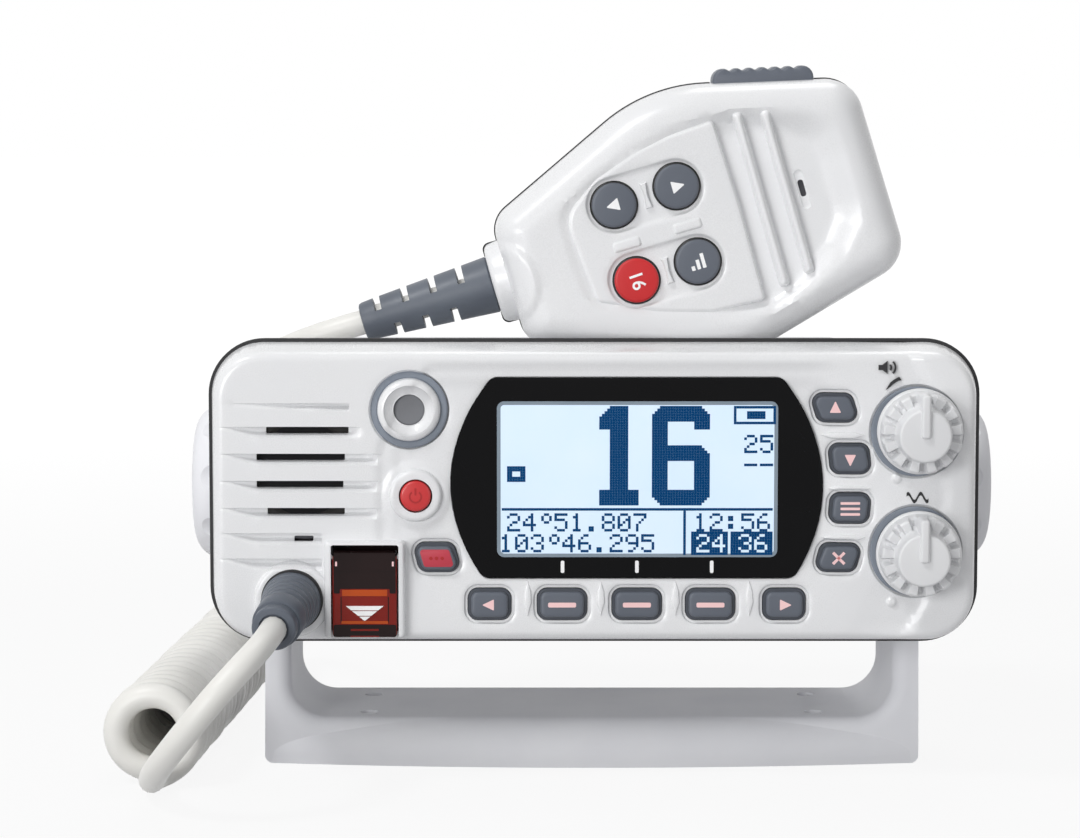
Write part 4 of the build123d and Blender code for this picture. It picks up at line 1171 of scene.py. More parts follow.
@dataclass
class FrontPanel:
    """White moulded front with its louvres, display field, knob field, collars and marks."""

    rear_middle: Point2 = (0.15, -1.4)
    rear_size: Point2 = (181.6, 71.0)
    rear_corner: float = 12.5
    round_edge: float = 2.3
    edges: tuple[float, ...] = (20.6, 15.05, 8.7, 2.3, -4.1, -10.1, -16.1)
    ends: tuple[float, ...] = (-57.6, -56.0, -51.2, -51.4, -51.4, -64.2, -64.2)
    slots: tuple[tuple[float, float, float, float], ...] = (
        (-77.1, -57.7, 15.05, 13.3), (-79.4, -58.6, 8.7, 6.95), (-79.4, -59.0, 2.3, 0.55),
        (-76.9, -58.7, -4.1, -5.85), (-70.6, -66.1, -11.0, -12.2))
    tip: float = -88.9
    groove_height: float = 2.75
    groove_depth: float = 2.5
    slat_edge: float = 0.22
    runout: float = 1.4
    runout_rows: range = range(1, 5)
    blunt_end: float = 0.15
    flap_frame: tuple[Point2, Point2] = ((-63.5, -34.9), (-44.3, -11.7))
    flap_well: tuple[Point2, Point2] = ((-61.8, -34.0), (-45.9, -12.6))
    flap_mouth: tuple[Point2, Point2] = ((-61.8, -35.3), (-45.9, -33.4))
    mark_low: float = -0.9
    mark_high: float = 0.16
    knob_field_fade: float = 3.3
    knob_field_left: tuple[Point2, ...] = (
        (59.0, -34.6), (66.2, -21.1), (69.7, -8.0), (69.7, 8.0), (67.0, 20.6), (61.0, 31.4))
    knob_field_right: tuple[Point2, ...] = (
        (71.6, -35.0), (77.0, -25.1), (80.3, -12.5), (81.5, 0.0), (80.3, 12.5), (77.0, 24.1), (73.1, 32.7))

    def grooves(self, x: np.ndarray, z: np.ndarray) -> np.ndarray:
        """Depth of the louvre grooves: deep under each slat's sharp edge, then rising.

        Args:
            x: Points' first coordinates.
            z: Points' second coordinates.
        Returns:
            The change in rise at each point.
        """
        depth = np.zeros(x.shape)
        for row, (edge, end) in enumerate(zip(self.edges, self.ends)):
            opening = eased((x - self.tip) / 11.0) if row else 0.35 + 0.65 * eased((x - self.tip) / 40.0)
            height = self.groove_height * (0.12 + 0.88 * opening) * (0.72 if row == 0 else 1.0)
            deep = self.groove_depth * eased((x - self.tip) / (13.0 if row else 34.0))
            blunt = np.clip((end + self.blunt_end - x) / self.blunt_end, 0.0, 1.0)
            closing = eased((end + self.runout - x) / 3.6) if row in self.runout_rows else blunt
            below = edge - z
            fall = np.clip(below / self.slat_edge, 0.0, 1.0)
            climb = 1 - eased((below / height - 0.45) / 0.55)
            inside = (below > 0) & (x > self.tip)
            depth -= np.where(inside, deep * closing * fall * climb, 0.0)
        return depth

    def ground(self, x: np.ndarray, z: np.ndarray) -> np.ndarray:
        """Rise of the face before collars and wells: its wide, soft forms.

        Args:
            x: Points' first coordinates.
            z: Points' second coordinates.
        Returns:
            The rise at each point.
        """
        field_line = rounded([(-51.2, -13.4), (-51.2, 10.0), (-46.2, 21.0), (-39.0, 30.2), (57.0, 30.2),
                              (61.5, 24.0), (62.0, -30.0), (-40.0, -32.5)], [2, 4, 10, 5, 6, 4, 4, 4])
        inside = -signed_distance(field_line, x, z)
        fade = eased((62.0 - x) / 13.0) * eased((z + 33.0) / 26.0)
        rise = -(0.7 * eased(inside / 1.5) + 0.45 * eased((inside - 3.6) / 2.4)) * fade
        left = np.interp(z, *zip(*[(b, a) for a, b in self.knob_field_left]))
        right = np.interp(z, *zip(*[(b, a) for a, b in self.knob_field_right]))
        share = np.clip((x - left) / (right - left), 0, 1)
        back = np.clip(1 - (x - right) / self.knob_field_fade, 0, 1)
        rise -= 0.95 * share * np.where(x > right, back, 1.0) * eased((z + 36.0) / 4.0)
        rise -= 0.5 * eased((z - 30.9) / 2.4) * eased((x + 88.0) / 8.0) * eased((88.0 - x) / 8.0)
        return rise + self.grooves(x, z)

    def lines(self) -> list[list[Point2]]:
        """Lines along the slats' edges, the grooves' feet and the knob field's sides.

        Returns:
            The open lines.
        """
        drawn: list[list[Point2]] = []
        for row, (edge, end) in enumerate(zip(self.edges, self.ends)):
            stop = end + self.runout if row in self.runout_rows else end
            for drop in (0.0, self.slat_edge, 0.8, 1.3, 1.75, 2.2, self.groove_height):
                drawn.append(resampled([(self.tip - 0.2, edge - drop), (stop, edge - drop)], 1.0, False))
            if stop == end:
                side = end + self.blunt_end
                drawn.append(resampled([(side, edge), (side, edge - self.groove_height)], 0.6, False))
        fade = [(x + self.knob_field_fade, z) for x, z in self.knob_field_right]
        drawn += [resampled(side, 1.2, False) for side in (self.knob_field_left, self.knob_field_right, fade)]
        return drawn

    def key_features(self) -> list[Feature]:
        """A rounded seat round each key."""
        seat = ((-1.2, -0.75), (-0.15, -0.75), (0.0, -0.6), (0.12, -0.18), (0.45, 0.0))
        return [Feature(key.outline(0.95), seat) for key in KEY_SHAPES.values()]

    def ridges(self) -> list[Feature]:
        """Small tapered ridges between the keys.

        Returns:
            Their features.
        """
        crest = ((-0.45, 0.55), (-0.1, 0.45), (0.1, 0.0))
        spots = []
        for left, right, z in ((53.3, 63.3, 13.1), (55.0, 64.8, 0.5), (53.6, 63.7, -11.1)):
            spots.append([(left, z), (left + 2.2, z - 0.75), (right - 2.2, z - 0.75), (right, z),
                          (right - 2.2, z + 0.6), (left + 2.2, z + 0.6)])
        for x in (-15.6, 1.6, 19.2, 36.6):
            spots.append([(x, -29.6), (x + 0.85, -26.6), (x + 0.7, -23.8), (x, -21.6), (x - 0.7, -23.8),
                          (x - 0.85, -26.6)])
        return [Feature(spot, crest) for spot in spots]

    def features(self) -> list[Feature]:
        """Everything raised from the face or pressed into it.

        Returns:
            The features, later ones over earlier ones.
        """
        port_well = ((-1.6, -1.2), (-0.25, -1.2), (0.0, -0.9), (0.35, -0.15), (1.3, 0.0))
        knob_well = ((-1.0, -0.85), (-0.2, -0.85), (0.0, -0.7), (0.5, 0.0))
        funnel = ((-3.6, -1.8), (-1.9, -1.7), (-0.3, -0.5), (0.0, 0.0))
        pimple = ((-0.9, 0.6), (-0.5, 0.5), (-0.15, 0.15), (0.1, 0.0))
        lens_seat = ((-0.6, -1.0), (-0.12, -1.0), (0.0, -0.25), (0.12, -0.02), (0.5, 0.0))
        rounding = ((-0.8, 1.0), (-0.55, 0.96), (-0.3, 0.86), (-0.12, 0.62), (0.0, 0.0))
        wall = ((-0.12, 1.0), (0.0, 0.0))
        made = [Feature(circle(PORT, 9.15), port_well),
                Feature(circle(PORT, 7.5), lip(1.7, 3.3)),
                Feature(circle(PORT, 5.9, 60), funnel),
                Feature(circle(POWER, 8.6), slope(-1.8, 0.0, 0.45, 0.0, 4)),
                Feature(circle(POWER, 6.3), lip(1.1, 1.5)),
                Feature(circle(SOCKET, 9.0), lip(0.9, 1.4)),
                *(Feature(circle(spot, 1.3, 24), pimple) for spot in ((71.1, 2.9), (70.2, -26.5))),
                *(Feature(circle(centre, 10.7), knob_well) for centre in KNOB_SEATS.values())]
        made += self.key_features() + self.ridges()
        made += [Feature(lens_outline(), lens_seat),
                 Feature(frame_outline(*self.flap_frame, 1.2), rounding, level=2.5),
                 Feature(frame_outline(*self.flap_well, 0.6), wall, level=-4.9),
                 Feature(frame_outline(*self.flap_mouth, 0.3), wall, level=-0.9)]
        return made

    def holes(self) -> list[list[Point2]]:
        """Everything that goes right through.

        Returns:
            The holes' outlines.
        """
        made = [frame_outline((left, low), (right, high), 0.3, 4) for left, right, high, low in self.slots]
        made += [resampled(key.outline(0.3), 0.9) for key in KEY_SHAPES.values()]
        made += [circle(centre, 4.8, 40) for centre in KNOB_CENTRES.values()]
        made += [circle(POWER, 3.95, 56), circle(SOCKET, 7.3, 64), circle(PORT, 3.66, 48)]
        made.append(resampled(frame_outline(*WINDOW, 1.6), 2.0))
        return made

    def build(self) -> None:
        """Makes the moulding, the grey rings of painted shade in its wells, the painted shade in the flap's well, the
        speaker cloth and the printed marks.
        """
        (middle_x, middle_z), (width, height) = self.rear_middle, self.rear_size
        outline = frame_outline((middle_x - width / 2, middle_z - height / 2),
                                (middle_x + width / 2, middle_z + height / 2), self.rear_corner, 16)
        drop = PANEL_FRONT - PANEL_BACK
        turns = [math.radians(a) for a in (8, 22, 36, 50, 64, 78, 90)]
        edge = ((0.0, drop + 0.2), (1.28, -self.round_edge * (1 - math.sin(turns[0]))),
                *((1.30 + self.round_edge * (1 - math.cos(a)), -self.round_edge * (1 - math.sin(a)))
                  for a in turns[1:]))
        relief = Relief(PANEL, resampled(outline, 1.6), edge, self.ground, self.features(), self.holes(),
                        self.lines(), rim=(3.3, drop), floor=-2.5)
        skin = Skin()
        relief.add_to(skin, Paint.WHITE)
        panel = skin.piece("front_moulding", "radio", 30)
        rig.replaces(panel, "front_panel")
        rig.slot(panel, "white_plastic")
        self.seals()
        self.marks()

    def seals(self) -> None:
        """Grey rings of painted shade in the wells of the knobs and the port, a dark plate of painted shade in the
        flap's well, and the speaker cloth.
        """
        skin = Skin()
        # Grey rings at the foot of the wells, set off the knobs' centres: painted shade of the gap round the knobs and
        # the port.
        for centre, inner, outer, base in ((PORT, 7.45, 9.05, -1.3),
                                           *((seat, 8.9, 10.6, -0.95) for seat in KNOB_SEATS.values())):
            side, top, bevel = base + 0.28, base + 0.5, 0.35
            profile = ((inner, base), (outer, base), (outer, side), (outer - bevel, top),
                       (inner + bevel, top), (inner, side))
            skin.spin(PANEL, centre, profile, Paint.WELL_SHADE_GREY, closed=True)
        ring = skin.piece("well_shade_rings", "radio")
        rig.slot(ring, "black_rubber")
        # A dark plate on the top wall and floor of the flap's well: painted shade where the well shows above the flap.
        painted_shade_plate = Skin()
        dark = Paint.FLAP_PAINTED_SHADE
        painted_shade_plate.plate(PANEL, frame_outline((-61.7, -12.75), (-46.0, -12.65), 0.04), -4.85, 1.2, dark)
        painted_shade_plate.plate(PANEL, frame_outline((-61.7, -17.2), (-46.0, -12.66), 0.2), -4.86, -4.6, dark)
        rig.slot(painted_shade_plate.piece("flap_well_painted_shade", "radio"), "dark_plastic")
        cloth = Skin()
        outline = frame_outline((-82.5, -14.0), (-56.0, 18.0), 2.0)
        cloth.plate(PANEL, outline, -4.2, -3.8, Paint.CLOTH)
        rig.slot(cloth.piece("speaker_cloth", "radio"), "cone")

    def marks(self) -> None:
        """Printed marks for loudness and noise gate: a wedge, a small speaker and a wave."""
        skin = Skin()
        ink = Paint.INK
        wedge = [(68.3, 23.75), (69.1, 24.35), (70.0, 25.1), (71.0, 25.8), (71.9, 26.05), (71.35, 26.8),
                 (70.3, 26.25), (69.3, 25.45)]
        x, z = 68.7, 29.0
        speaker = [(x - 2.2, z - 0.6), (x - 1.3, z - 0.6), (x - 0.1, z - 1.5), (x - 0.1, z + 1.5),
                   (x - 1.3, z + 0.6), (x - 2.2, z + 0.6)]
        arcs = []
        for reach in (1.0, 2.0):
            arcs.append([(x + radius * math.cos(a * side), z + radius * math.sin(a * side))
                         for radius, side in ((reach, 1), (reach - 0.42, -1))
                         for a in np.linspace(-0.85, 0.85, 9)])
        for outline in (wedge, speaker, *arcs):
            skin.plate(PANEL, outline, self.mark_low, self.mark_high, ink)
        x, z = 76.0, -1.7
        rings = []
        for step in np.linspace(-2.6, 2.6, 27):
            up, proud = z + 0.95 * math.sin(step * 2.1), -0.36 - 0.09 * step
            rings.append([PANEL.point(x + step, up + half, proud + rise)
                          for half, rise in ((-0.42, -0.6), (0.42, -0.6), (0.42, 0.0), (-0.42, 0.0))])
        skin.loft(rings, ink)
        marks = skin.piece("printed_marks", "radio")
        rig.slot(marks, "dark_plastic")


# ---- Display --------------------
def tiles_group() -> bpy.types.NodeTree:
    """Geometry group that puts a small block on every point it is given.

    Returns:
        The group, with the block's size and material as named inputs.
    """
    tree = bpy.data.node_groups.new("tiles_on_points", "GeometryNodeTree")
    tree.interface.new_socket("Geometry", in_out="INPUT", socket_type="NodeSocketGeometry")
    tree.interface.new_socket("Tile Size", in_out="INPUT", socket_type="NodeSocketVector")
    tree.interface.new_socket("Finish", in_out="INPUT", socket_type="NodeSocketMaterial")
    tree.interface.new_socket("Geometry", in_out="OUTPUT", socket_type="NodeSocketGeometry")
    sheet = Sheet(tree)
    given, result = sheet.node("NodeGroupInput"), sheet.node("NodeGroupOutput")
    block = sheet.node("GeometryNodeMeshCube", {"Size": given.outputs["Tile Size"]})
    copies = sheet.node("GeometryNodeInstanceOnPoints", {"Points": given.outputs["Geometry"],
                                                         "Instance": block.outputs["Mesh"]})
    real = sheet.node("GeometryNodeRealizeInstances", {0: copies.outputs[0]})
    dressed = sheet.node("GeometryNodeSetMaterial", {"Geometry": real.outputs[0],
                                                     "Material": given.outputs["Finish"]})
    tree.links.new(dressed.outputs[0], result.inputs[0])
    return tree


def tiled(name: str, body: str, spots: Sequence[Point3], size: Point3,
          finish: Paint) -> bpy.types.Object:
    """One piece of equal small blocks.

    Args:
        name: The piece's name.
        body: The body that it moves with.
        spots: The blocks' centres, in millimetres.
        size: A block's size, in millimetres.
        finish: Its paint.
    Returns:
        The piece.
    """
    points = bpy.data.meshes.new(name + "_points")
    points.from_pydata([(x * MM, y * MM, z * MM) for x, y, z in spots], [], [])
    carrier = placed(name, points)
    tree = bpy.data.node_groups.get("tiles_on_points") or tiles_group()
    modifier = carrier.modifiers.new("tiles", "NODES")
    modifier.node_group = tree
    sockets = {item.name: item.identifier for item in tree.interface.items_tree
               if getattr(item, "in_out", "") == "INPUT"}
    modifier[sockets["Tile Size"]] = [value * MM for value in size]
    modifier[sockets["Finish"]] = finish.material
    graph = bpy.context.evaluated_depsgraph_get()
    mesh = bpy.data.meshes.new_from_object(carrier.evaluated_get(graph))
    carrier.modifiers.clear()
    carrier.data = mesh
    mesh.name = name
    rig.ride(carrier, body)
    LOG.info("%s: %d blocks on %s", name, len(spots), body)
    return carrier


@dataclass
class Display:
    """What shows in the black lens: a pale lit panel, a grey band of painted shade round it, dark pixels and white
    ticks.
    """

    pitch: float = 0.618
    lcd_left: float = -22.3
    lcd_top: float = 20.6
    digits: dict[str, str] = field(default_factory=lambda: {
        "0": "01110 10001 10011 10101 11001 10001 01110",
        "1": "00100 01100 00100 00100 00100 00100 01110",
        "2": "01110 10001 00001 00110 01000 10000 11111",
        "3": "01110 10001 00001 00110 00001 10001 01110",
        "4": "00010 00110 01010 10010 11111 00010 00010",
        "5": "11111 10000 11110 00001 00001 10001 01110",
        "6": "00110 01000 10000 11110 10001 10001 01110",
        "7": "11111 00001 00010 00100 01000 01000 01000",
        "8": "01110 10001 10001 01110 10001 10001 01110",
        "9": "01110 10001 10001 01111 00001 00010 01100",
        ".": "00000 00000 00000 00000 00000 01100 01100",
        ":": "00000 01100 01100 00000 01100 01100 00000",
        "'": "00110 01001 01001 00110 00000 00000 00000",
        "-": "00000 00000 00000 11111 00000 00000 00000"})

    def text(self, words: str, column: int, row: int, dark: set[tuple[int, int]],
             light: bool = False) -> None:
        """Writes small characters into the pixel grid.

        Args:
            words: Digits and signs.
            column: First column.
            row: Top row.
            dark: The dark pixels, changed in place.
            light: Whether the characters are cut out of a dark ground.
        """
        for place, sign in enumerate(words):
            for down, line in enumerate(self.digits[sign].split()):
                for across, lit in enumerate(line):
                    if lit == "1":
                        spot = (column + place * 6 + across, row + down)
                        if light:
                            dark.discard(spot)
                        else:
                            dark.add(spot)

    @staticmethod
    def big_one(row: int) -> list[tuple[int, int]]:
        """Runs of dark columns of the large 1.

        Args:
            row: The row, from its top.
        Returns:
            Each run's first column and the one after its last.
        """
        if row < 4:
            return [(4 - row if row else 4, 11)]
        if row < 9:
            return [(0, 11)]
        return [(4, 11)] if row < 32 else [(0, 15)]

    @staticmethod
    def big_six(row: int) -> list[tuple[int, int]]:
        """Runs of dark columns of the large 6.

        Args:
            row: The row, from its top.
        Returns:
            Each run's first column and the one after its last.
        """
        cut = max(0, 3 - row, row - 34)
        if row < 6 or row > 31:
            return [(cut, 22 - cut)]
        if row < 9 or 20 < row < 32:
            return [(0, 6), (16, 22)]
        if row < 15:
            return [(0, 6)]
        return [(0, 22 - max(0, 18 - row))]

    def dark_pixels(self) -> set[tuple[int, int]]:
        """All dark pixels: channel number, position, time and small signs.

        Returns:
            Their columns and rows.
        """
        dark: set[tuple[int, int]] = set()
        for start, shape in ((38, self.big_one), (58, self.big_six)):
            for row in range(38):
                for low, high in shape(row):
                    dark |= {(start + column, 1 + row) for column in range(low, high)}
        boxes = ((1, 104, 40, 41), (70, 71, 41, 58), (73, 87, 49, 58), (88, 104, 49, 58), (90, 104, 1, 2),
                 (90, 104, 7, 8), (89, 90, 1, 8), (104, 105, 1, 8), (94, 101, 3, 6), (3, 10, 24, 26),
                 (3, 5, 24, 28), (8, 10, 24, 28), (3, 10, 28, 30))
        for left, right, top, bottom in boxes:
            dark |= {(column, row) for column in range(left, right) for row in range(top, bottom)}
        self.text("24'51.807", 3, 42, dark)
        self.text("103'46.295", 0, 50, dark)
        self.text("12:56", 74, 42, dark)
        self.text("24", 75, 50, dark, light=True)
        self.text("36", 91, 50, dark, light=True)
        self.text("25", 93, 12, dark)
        self.text("--", 93, 20, dark)
        return dark

    def build(self) -> None:
        """Makes the lit panel, the grey band of painted shade round its edge, its pixels and the ticks printed under
        it.
        """
        glass = Skin()
        border = frame_outline(*WINDOW, 1.6, 8)
        lit = [PANEL.ring(border, -0.2), PANEL.ring(border, 0.0), PANEL.ring(grown(border, -0.35), 0.02)]
        glass.loft(lit, Paint.SCREEN)
        screen = glass.piece("lit_screen", "radio")
        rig.slot(screen, "display")
        # Grey band round the screen's edge: painted shade of the bezel.
        shade = Skin()
        outer, inner = grown(border, 0.1), grown(border, -0.75)
        shade.loft([PANEL.ring(outer, -0.05), PANEL.ring(outer, 0.05), PANEL.ring(inner, 0.035),
                    PANEL.ring(inner, -0.05)], Paint.SCREEN_EDGE_SHADE, closed=True)
        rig.slot(shade.piece("screen_edge", "radio"), "display")
        spots = [PANEL.point(self.lcd_left + (column + 0.5) * self.pitch,
                             self.lcd_top - (row + 0.5) * self.pitch, 0.035)
                 for column, row in sorted(self.dark_pixels())]
        pixels = tiled("dark_pixels", "radio", spots, (self.pitch * 0.985, 0.04, self.pitch * 0.985),
                       Paint.LCD_INK)
        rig.slot(pixels, "display")
        ticks = Skin()
        for x in (-7.4, 10.1, 27.7):
            bar = frame_outline((x - 0.42, -19.5), (x + 0.42, -16.6), 0.3)
            ticks.plate(PANEL, bar, -0.2, 0.04, Paint.LEGEND_WHITE_PAINTED_GLOW)
        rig.slot(ticks.piece("lens_ticks", "radio"), "white_plastic")


# ---- Keys --------------------
@dataclass
class Keypad:
    """Slate panel keys in two tiers, the red power key and their legends."""

    proud: float = 0.95
    edge: float = 0.6

    @staticmethod
    def arrow(centre: Point2, size: float, turn: float) -> list[Point2]:
        """A solid triangle.

        Args:
            centre: Its centre.
            size: How far its corners reach.
            turn: The angle in degrees that it points along.
        Returns:
            Its outline.
        """
        corners = []
        for angle, share in ((0, 1.0), (128, 0.98), (232, 0.98)):
            heading, reach = math.radians(turn + angle), size * share
            corners.append((centre[0] + reach * math.cos(heading), centre[1] + reach * math.sin(heading)))
        return rounded(corners, [size * 0.08] * 3, 3)

    @staticmethod
    def bar(centre: Point2, width: float, height: float) -> list[Point2]:
        """A flat bar with rounded ends.

        Args:
            centre: Its centre.
            width: Its whole width.
            height: Its whole height.
        Returns:
            Its outline.
        """
        (x, z), half_w, half_h = centre, width / 2, height / 2
        return frame_outline((x - half_w, z - half_h), (x + half_w, z + half_h), min(half_w, half_h) * 0.6)

    def legends(self, name: str, key: KeyShape) -> list[list[Point2]]:
        """The outlines of a key's legend.

        Args:
            name: The key's node.
            key: Its shape.
        Returns:
            The outlines, all plain signs.
        """
        centre = (key.x, key.z)
        turns = {"key_left": 180.0, "key_right": 0.0, "key_up": 90.0, "key_down": -90.0}
        if name in turns:
            return [self.arrow(centre, 1.75, turns[name])]
        if name.startswith("key_soft"):
            return [self.bar(centre, 6.6, 1.15)]
        if name == "key_menu":
            return [self.bar((key.x, key.z + lift), 4.6, 0.62) for lift in (-1.3, 0.0, 1.3)]
        if name == "key_clear":
            arms = []
            for turn in (math.pi / 4, -math.pi / 4):
                box = [(-1.9, -0.34), (1.9, -0.34), (1.9, 0.34), (-1.9, 0.34)]
                arms.append([(key.x + a * math.cos(turn) - b * math.sin(turn),
                              key.z + a * math.sin(turn) + b * math.cos(turn)) for a, b in box])
            return arms
        return []

    def key(self, name: str, key: KeyShape) -> None:
        """One key: web in a darker slate as painted shade of the gap round it, flange, raised face with a rounded
        edge, and its legend.

        Args:
            name: The key's node.
            key: Its shape.
        """
        skin = Skin()
        top, edge, turns = self.proud, self.edge, [math.radians(turn) for turn in (20, 40, 60, 80)]
        web = ((0.16, -4.0), (0.16, -0.55), (0.0, -0.32), (-0.5, -0.3), (-0.62, -0.3))
        face = ((-0.55, -0.6), (-edge, top - 0.62),
                *((-edge - edge * (1 - math.cos(a)), top - 0.62 + edge * math.sin(a)) for a in turns),
                (-1.6, top + 0.02))
        # The web, deep in the gap round the key, takes the darker slate of painted shade.
        for profile, finish in ((web, Paint.SLATE_GAP_SHADE), (face, Paint.SLATE)):
            skin.loft([PANEL.ring(key.outline(grow), rise) for grow, rise in profile], finish)
        if name == "key_channel":
            inset = KeyShape(key.x, key.z, 7.0, 4.1, key.lean * 0.6)
            skin.loft([PANEL.ring(inset.outline(grow, corner), top + rise) for grow, corner, rise in
                       ((0.0, 0.7, -0.3), (0.0, 0.7, 0.06), (-0.12, 0.6, 0.1))], Paint.ROSE)
            for offset in (-1.33, 0.0, 1.33):
                dot = circle((key.x + offset, key.z), 0.42, 16)
                skin.plate(PANEL, dot, top, top + 0.16, Paint.RED_DEEP)
        for outline in self.legends(name, key):
            skin.plate(PANEL, outline, top - 0.2, top + 0.07, Paint.LEGEND_PINK_PAINTED_GLOW)
        cap = skin.piece(name + "_face", name + "_cap", 34)
        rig.replaces(cap, name)
        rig.slot(cap, "slate_plastic")

    def power(self) -> None:
        """The red power key with its tone-on-tone sign."""
        skin = Skin()
        profile = [(3.62, -4.0), (3.62, 0.72), *arc((2.92, 0.72), (0.7, 0.6), np.linspace(0.3, 1.5, 5)),
                   (1.6, 1.42), (0.4, 1.46)]
        skin.spin(PANEL, POWER, profile, Paint.RED)
        ring = [(POWER[0] + radius * math.sin(a), POWER[1] - 0.1 + radius * math.cos(a))
                for radius, start, stop in ((1.55, 0.65, 5.63), (1.15, 5.63, 0.65))
                for a in np.linspace(start, stop, 26)]
        for outline in (ring, self.bar((POWER[0], POWER[1] + 1.1), 0.44, 1.7)):
            skin.plate(PANEL, outline, 1.2, 1.5, Paint.RED_DEEP)
        cap = skin.piece("power_key_face", "key_power_cap", 34)
        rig.replaces(cap, "key_power")
        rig.slot(cap, "red_key")

    def build(self) -> None:
        """Makes every key."""
        for name, key in KEY_SHAPES.items():
            self.key(name, key)
        self.power()


# ---- Rotary knobs --------------------
@dataclass
class RotaryKnob:
    """White knob: round face with a pointer bar, and a crown of blocks round its foot."""

    name: str
    centre: Point2
    teeth: int = 13
    block_share: float = 0.78
    block_rounding: float = 0.3
    foot: float = 10.1
    crown_height: float = 8.1
    gap_height: float = 5.2
    face_height: float = 13.4

    def crown_ring(self, radius: float, block: float, gap: float) -> list[Point3]:
        """One ring of the crown, high over each block and low in each gap.

        Args:
            radius: The ring's radius.
            block: Rise on a block.
            gap: Rise in a gap.
        Returns:
            The ring's points.
        """
        per_tooth = 12
        ring = []
        for step in range(self.teeth * per_tooth):
            angle = math.pi / 2 + math.pi / self.teeth + math.tau * step / (self.teeth * per_tooth)
            share = abs((step % per_tooth) / per_tooth - 0.5) * 2
            lift = float(eased((self.block_share - share) / self.block_rounding))
            ring.append(PANEL.point(self.centre[0] + radius * math.cos(angle),
                                    self.centre[1] + radius * math.sin(angle), gap + (block - gap) * lift))
        return ring

    def build(self) -> None:
        """Makes the knob."""
        skin = Skin()
        white = Paint.KNOB
        foot, crown, gap, face, edge = self.foot, self.crown_height, self.gap_height, self.face_height, 0.7
        flat = [(foot - 0.6, 0.5), (foot, 0.75), (foot, 1.5), (foot - 0.2, 1.8), (foot - 0.5, 1.95)]
        blocks = [(9.45, crown - 1.2, gap - 1.4), (9.25, crown - 0.35, gap - 0.6), (8.85, crown, gap),
                  (7.3, crown, gap), (6.7, crown - 0.15, crown - 0.6)]
        turns = [math.radians(turn) for turn in (25, 50, 70, 90)]
        top = [(6.4, crown + 0.3), (6.15, face - edge), *arc((5.45, face - edge), (edge, edge), turns),
               (1.5, face - 0.05)]
        rows = [(radius, rise, rise) for radius, rise in flat] + blocks
        rows += [(radius, rise, rise) for radius, rise in top]
        skin.loft([self.crown_ring(*row) for row in rows], white)
        x, z = self.centre
        pointer = frame_outline((x - 1.1, z - 0.5), (x + 1.1, z + 9.6), 0.8, 6)
        heights = ((-0.0, 7.6), (0.0, 13.9), (-0.12, 14.2), (-0.35, 14.42), (-0.6, 14.48))
        skin.loft([PANEL.ring(grown(pointer, inset), height) for inset, height in heights], white)
        knob = skin.piece(self.name + "_knob_body", self.name, 34)
        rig.replaces(knob, self.name + "_knob")
        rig.slot(knob, "white_plastic")


